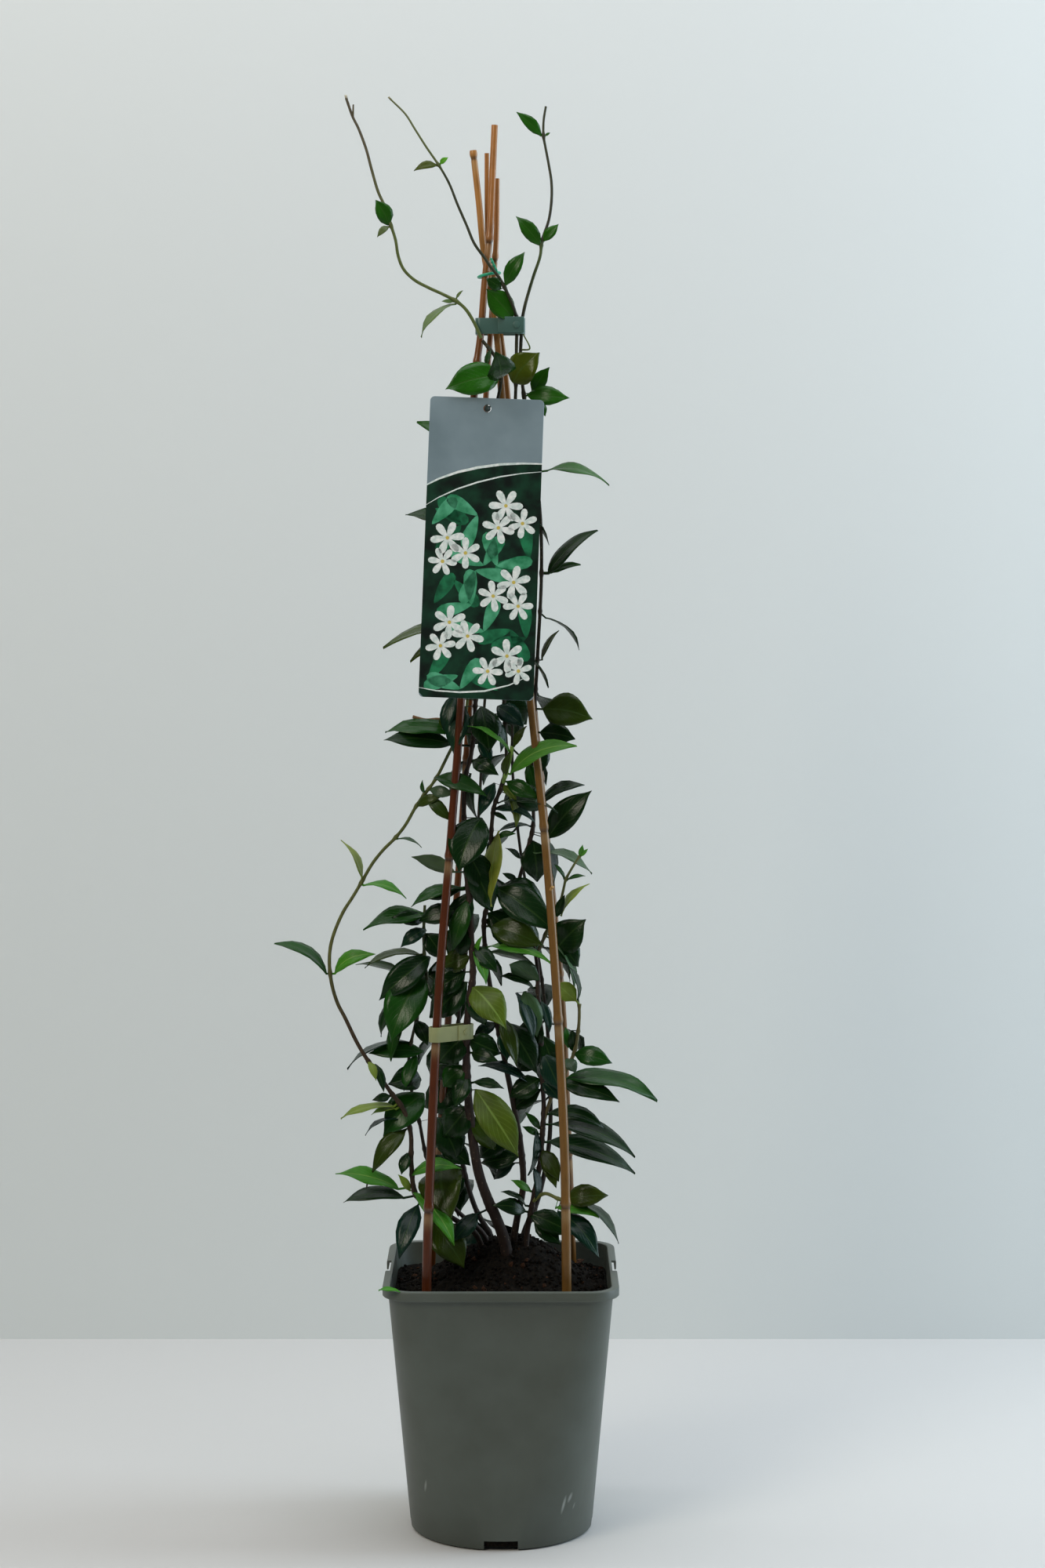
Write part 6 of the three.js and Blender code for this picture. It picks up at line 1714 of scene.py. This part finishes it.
# %% Stem skins
STEM_TONES = {
    # height and colour, from the foot up
    "stem_main": [(205, "#241710"), (430, "#2c1a12"), (700, "#2e2013"), (921, "#2c2c17")],
    "stem_middle": [(205, "#241710"), (500, "#2e2013"), (760, "#282310"), (936, "#30301a")],
    "stem_right": [(205, "#241710"), (480, "#2c1c12"), (700, "#282010"), (937, "#2a2812")],
    "stem_twining": [(205, "#28190f"), (400, "#3a2a16"), (450, "#57592a"), (715, "#4c5a28")],
    "stem_second": [(205, "#241710"), (360, "#2e2113"), (488, "#434e25")],
    "stem_back_left": [(205, "#20150e"), (700, "#282310")],
    "stem_back_right": [(205, "#20150e"), (720, "#282310")],
    "shoot_low_right": [(250, "#5a5a30"), (262, "#6a7038")],
    "shoot_hanging_right": [(318, "#544a2c"), (411, "#5f5c34")],
    "shoot_bud_right": [(448, "#4f4b2c"), (526, "#5c6434")],
    "shoot_bright": [(582, "#6f8f3c"), (611, "#86a648")],
    "dead_petiole": [(619, "#6a5034"), (634, "#7a5c3c")],
    "shoot_top_left": [(923, "#5c6a34"), (1000, "#58622f"), (1060, "#4d452c"), (1103, "#4a4230")],
    "shoot_top_middle": [(937, "#2b2c19"), (1045, "#2e331b"), (1056, "#566032"), (1102, "#5c6238")],
    "shoot_top_right": [(938, "#2d2b19"), (990, "#4a5a2c"), (1000, "#2a2b1d"), (1097, "#34381e")],
}
COLLAR = 0.55
COLLAR_LENGTH = 1.8
STEM_TAPER = 3


def stem_tone(z, stops):
    for (low, first), (high, second) in zip(stops, stops[1:]):
        if z <= high:
            return blend(first, second, (z - low) / (high - low))
    return linear(stops[-1][1])


def make_stem(name):
    foot, tip = STEMS[name]["radius"]
    line = centripetal([place(*point) for point in STEMS[name]["points"]], 1.5 * MM)
    taper = STEM_TAPER if name.startswith("stem") else 1
    joints = [leaf["root"] for leaf in large_leaves + joined_leaves if leaf["stem"] == name]
    radii, tones = [], []
    for k, point in enumerate(line):
        share = k / (len(line) - 1)
        radius = tip + (foot - tip) * (1 - share) ** taper
        gaps = [(point - joint).length / MM / COLLAR_LENGTH for joint in joints]
        collar = max([math.exp(-gap * gap) for gap in gaps], default=0)
        rough = 0.05 * noise.noise(point / (4 * MM)) * radius
        radii.append((radius + COLLAR * collar + rough) * MM)
        tones.append(stem_tone(point.z / MM, STEM_TONES[name]))
    return smooth(tube(name.replace("_", " "), line, radii, tones, sides=12), 60)


stems = {name: make_stem(name) for name in STEMS}

# %% [markdown]
# **Thin bark and green skin.** The bark of a young climber is thin and dull, with fine
# lengthwise cracks and pale breathing pores half a millimetre wide. A green shoot is smoother
# and a little waxy.

# %% Stem materials
def stem_skin(name, roughness, pores, cracks):
    material, tree, shader = new_material(name, {
        "Roughness": roughness, "Specular IOR Level": 0.4})
    where = add(tree, "ShaderNodeTexCoord").outputs["Object"]
    tone = add(tree, "ShaderNodeVertexColor", {"layer_name": "tone"}).outputs["Color"]
    long = add(tree, "ShaderNodeMapping", None, {"Vector": where, "Scale": (900, 900, 120)})
    lines = add(tree, "ShaderNodeTexNoise", None, {
        "Vector": long.outputs["Vector"], "Scale": 1.0, "Detail": 3.0})
    value = add(tree, "ShaderNodeMapRange", None, {
        "Value": lines.outputs["Fac"], "From Min": 0.3, "From Max": 0.7, "To Min": 1 - cracks,
        "To Max": 1 + cracks})
    lined = add(tree, "ShaderNodeHueSaturation", None, {
        "Value": value.outputs["Result"], "Color": tone})
    dots = add(tree, "ShaderNodeTexVoronoi", None, {"Vector": where, "Scale": 320.0})
    pore = add(tree, "ShaderNodeMapRange", None, {
        "Value": dots.outputs["Distance"], "From Min": 0.22, "From Max": 0.12, "To Max": pores})
    colour = add(tree, "ShaderNodeMix", {"data_type": "RGBA"}, {
        0: pore.outputs["Result"], 6: lined.outputs["Color"], 7: "#7d6a50"})
    bump = add(tree, "ShaderNodeBump", None, {
        "Strength": 0.4, "Distance": 0.0004, "Height": lines.outputs["Fac"]})
    connect(tree, shader, base_color=colour.outputs[2], normal=bump.outputs["Normal"])
    return material


bark = stem_skin("thin brown bark", 0.7, 0.35, 0.35)
green_skin = stem_skin("green shoot skin", 0.48, 0.15, 0.15)
for name, stem in stems.items():
    woody = not name.startswith("shoot")
    finish_piece(
        stem, [name], [bark if woody else green_skin])

# %% [markdown]
# ## Cut ends, stubs and bits
# Where a shoot was cut or a leaf has dropped, a short dry stub is left. Each is a tube of its
# own.

# %% Stubs
STUBS = [
    # name, line, radius at its foot and end in millimetres, colours there
    ("cut tip of the left shoot", [(-116.6, 1102, -2), (-117.4, 1105.5, -2)],
     (1.05, 1.0), "#4a4230", "#cfc9b4"),
    ("side stub of the left shoot", [(-112, 1088, -4), (-111.6, 1098.5, -5)],
     (0.9, 0.6), "#4d452c", "#5c5238"),
    ("stub under the low left leaf", [(-104, 272.5, -26), (-105, 266, -27)],
     (0.8, 0.5), "#4a3520", "#3a2816"),
    ("petiole under the top leaves", [(15.4, 914, 1.5), (22, 915, -3), (17, 926, -6)],
     (0.7, 0.5), "#5d6a30", "#6b7838"),
    ("cut end of the middle shoot", [(-82.6, 1101.6, 7), (-85, 1104, 7)],
     (0.75, 0.8), "#5c6238", "#a9a482"),
    ("stub on the right cane", [(36.5, 498, -31.5), (39.8, 502.5, -36.5)],
     (1.6, 1.0), "#775424", "#b08a52"),
]
for name, points, (foot, end), first, last in STUBS:
    line = centripetal([place(*point) for point in points], 0.6 * MM)
    shares = [k / (len(line) - 1) for k in range(len(line))]
    stub = tube(
        name, line, [(foot + (end - foot) * share) * MM for share in shares],
        [blend(first, last, share) for share in shares], sides=8)
    finish_piece(smooth(stub, 50), [], [bark])

# %% [markdown]
# ## Floor, wall and light
# The pot stands on a pale floor in front of a pale wall. Light comes softly from a large
# window at the front left, and the room fills the shadows. None of this belongs to the model.

# %% Studio
clear_selection()
bpy.ops.mesh.primitive_plane_add(size=12, location=(0, 0, -0.0005))
floor = bpy.context.object
floor.name = "studio floor"
clear_selection()
bpy.ops.mesh.primitive_plane_add(size=12, location=(0, 0.572, 0), rotation=(math.pi / 2, 0, 0))
wall_board = bpy.context.object
wall_board.name = "studio wall"
floor_paint = new_material("matt white floor", {"Base Color": linear("#cfcfcd"), "Roughness": 0.85})[0]
wall_paint = new_material("matt pale wall paint", {"Base Color": linear("#dce1e0"), "Roughness": 0.9})[0]
floor.data.materials.append(floor_paint)
wall_board.data.materials.append(wall_paint)


def area_light(name, location, aim, size, power, colour):
    clear_selection()
    bpy.ops.object.light_add(type="AREA", location=location)
    light = bpy.context.object
    light.name = name
    light.data.shape = "RECTANGLE"
    light.data.size, light.data.size_y = size
    light.data.energy = power
    light.data.color = linear(colour)[:3]
    light.rotation_euler = (Vector(aim) - Vector(location)).to_track_quat("-Z", "Y").to_euler()
    return light


area_light("window", (-1.5, -1.9, 2.1), (0, 0, 0.6), (1.0, 1.0), 26, "#fdf4e2")
area_light("cool window", (1.6, 0.1, 0.9), (0, 0, 0.4), (0.7, 1.6), 22, "#d6e8f6")
area_light("ceiling", (0, -0.6, 2.9), (0, 0.2, 0.3), (3.0, 1.6), 33, "#fafaff")
area_light("wall wash", (0, 0.1, 2.3), (0, 0.572, 0.0), (2.8, 0.3), 9, "#fafaff")
world = bpy.data.worlds.new("room")
world.use_nodes = True
world.node_tree.nodes["Background"].inputs["Color"].default_value = linear("#e2e8e8")
world.node_tree.nodes["Background"].inputs["Strength"].default_value = 0.1
bpy.context.scene.world = world
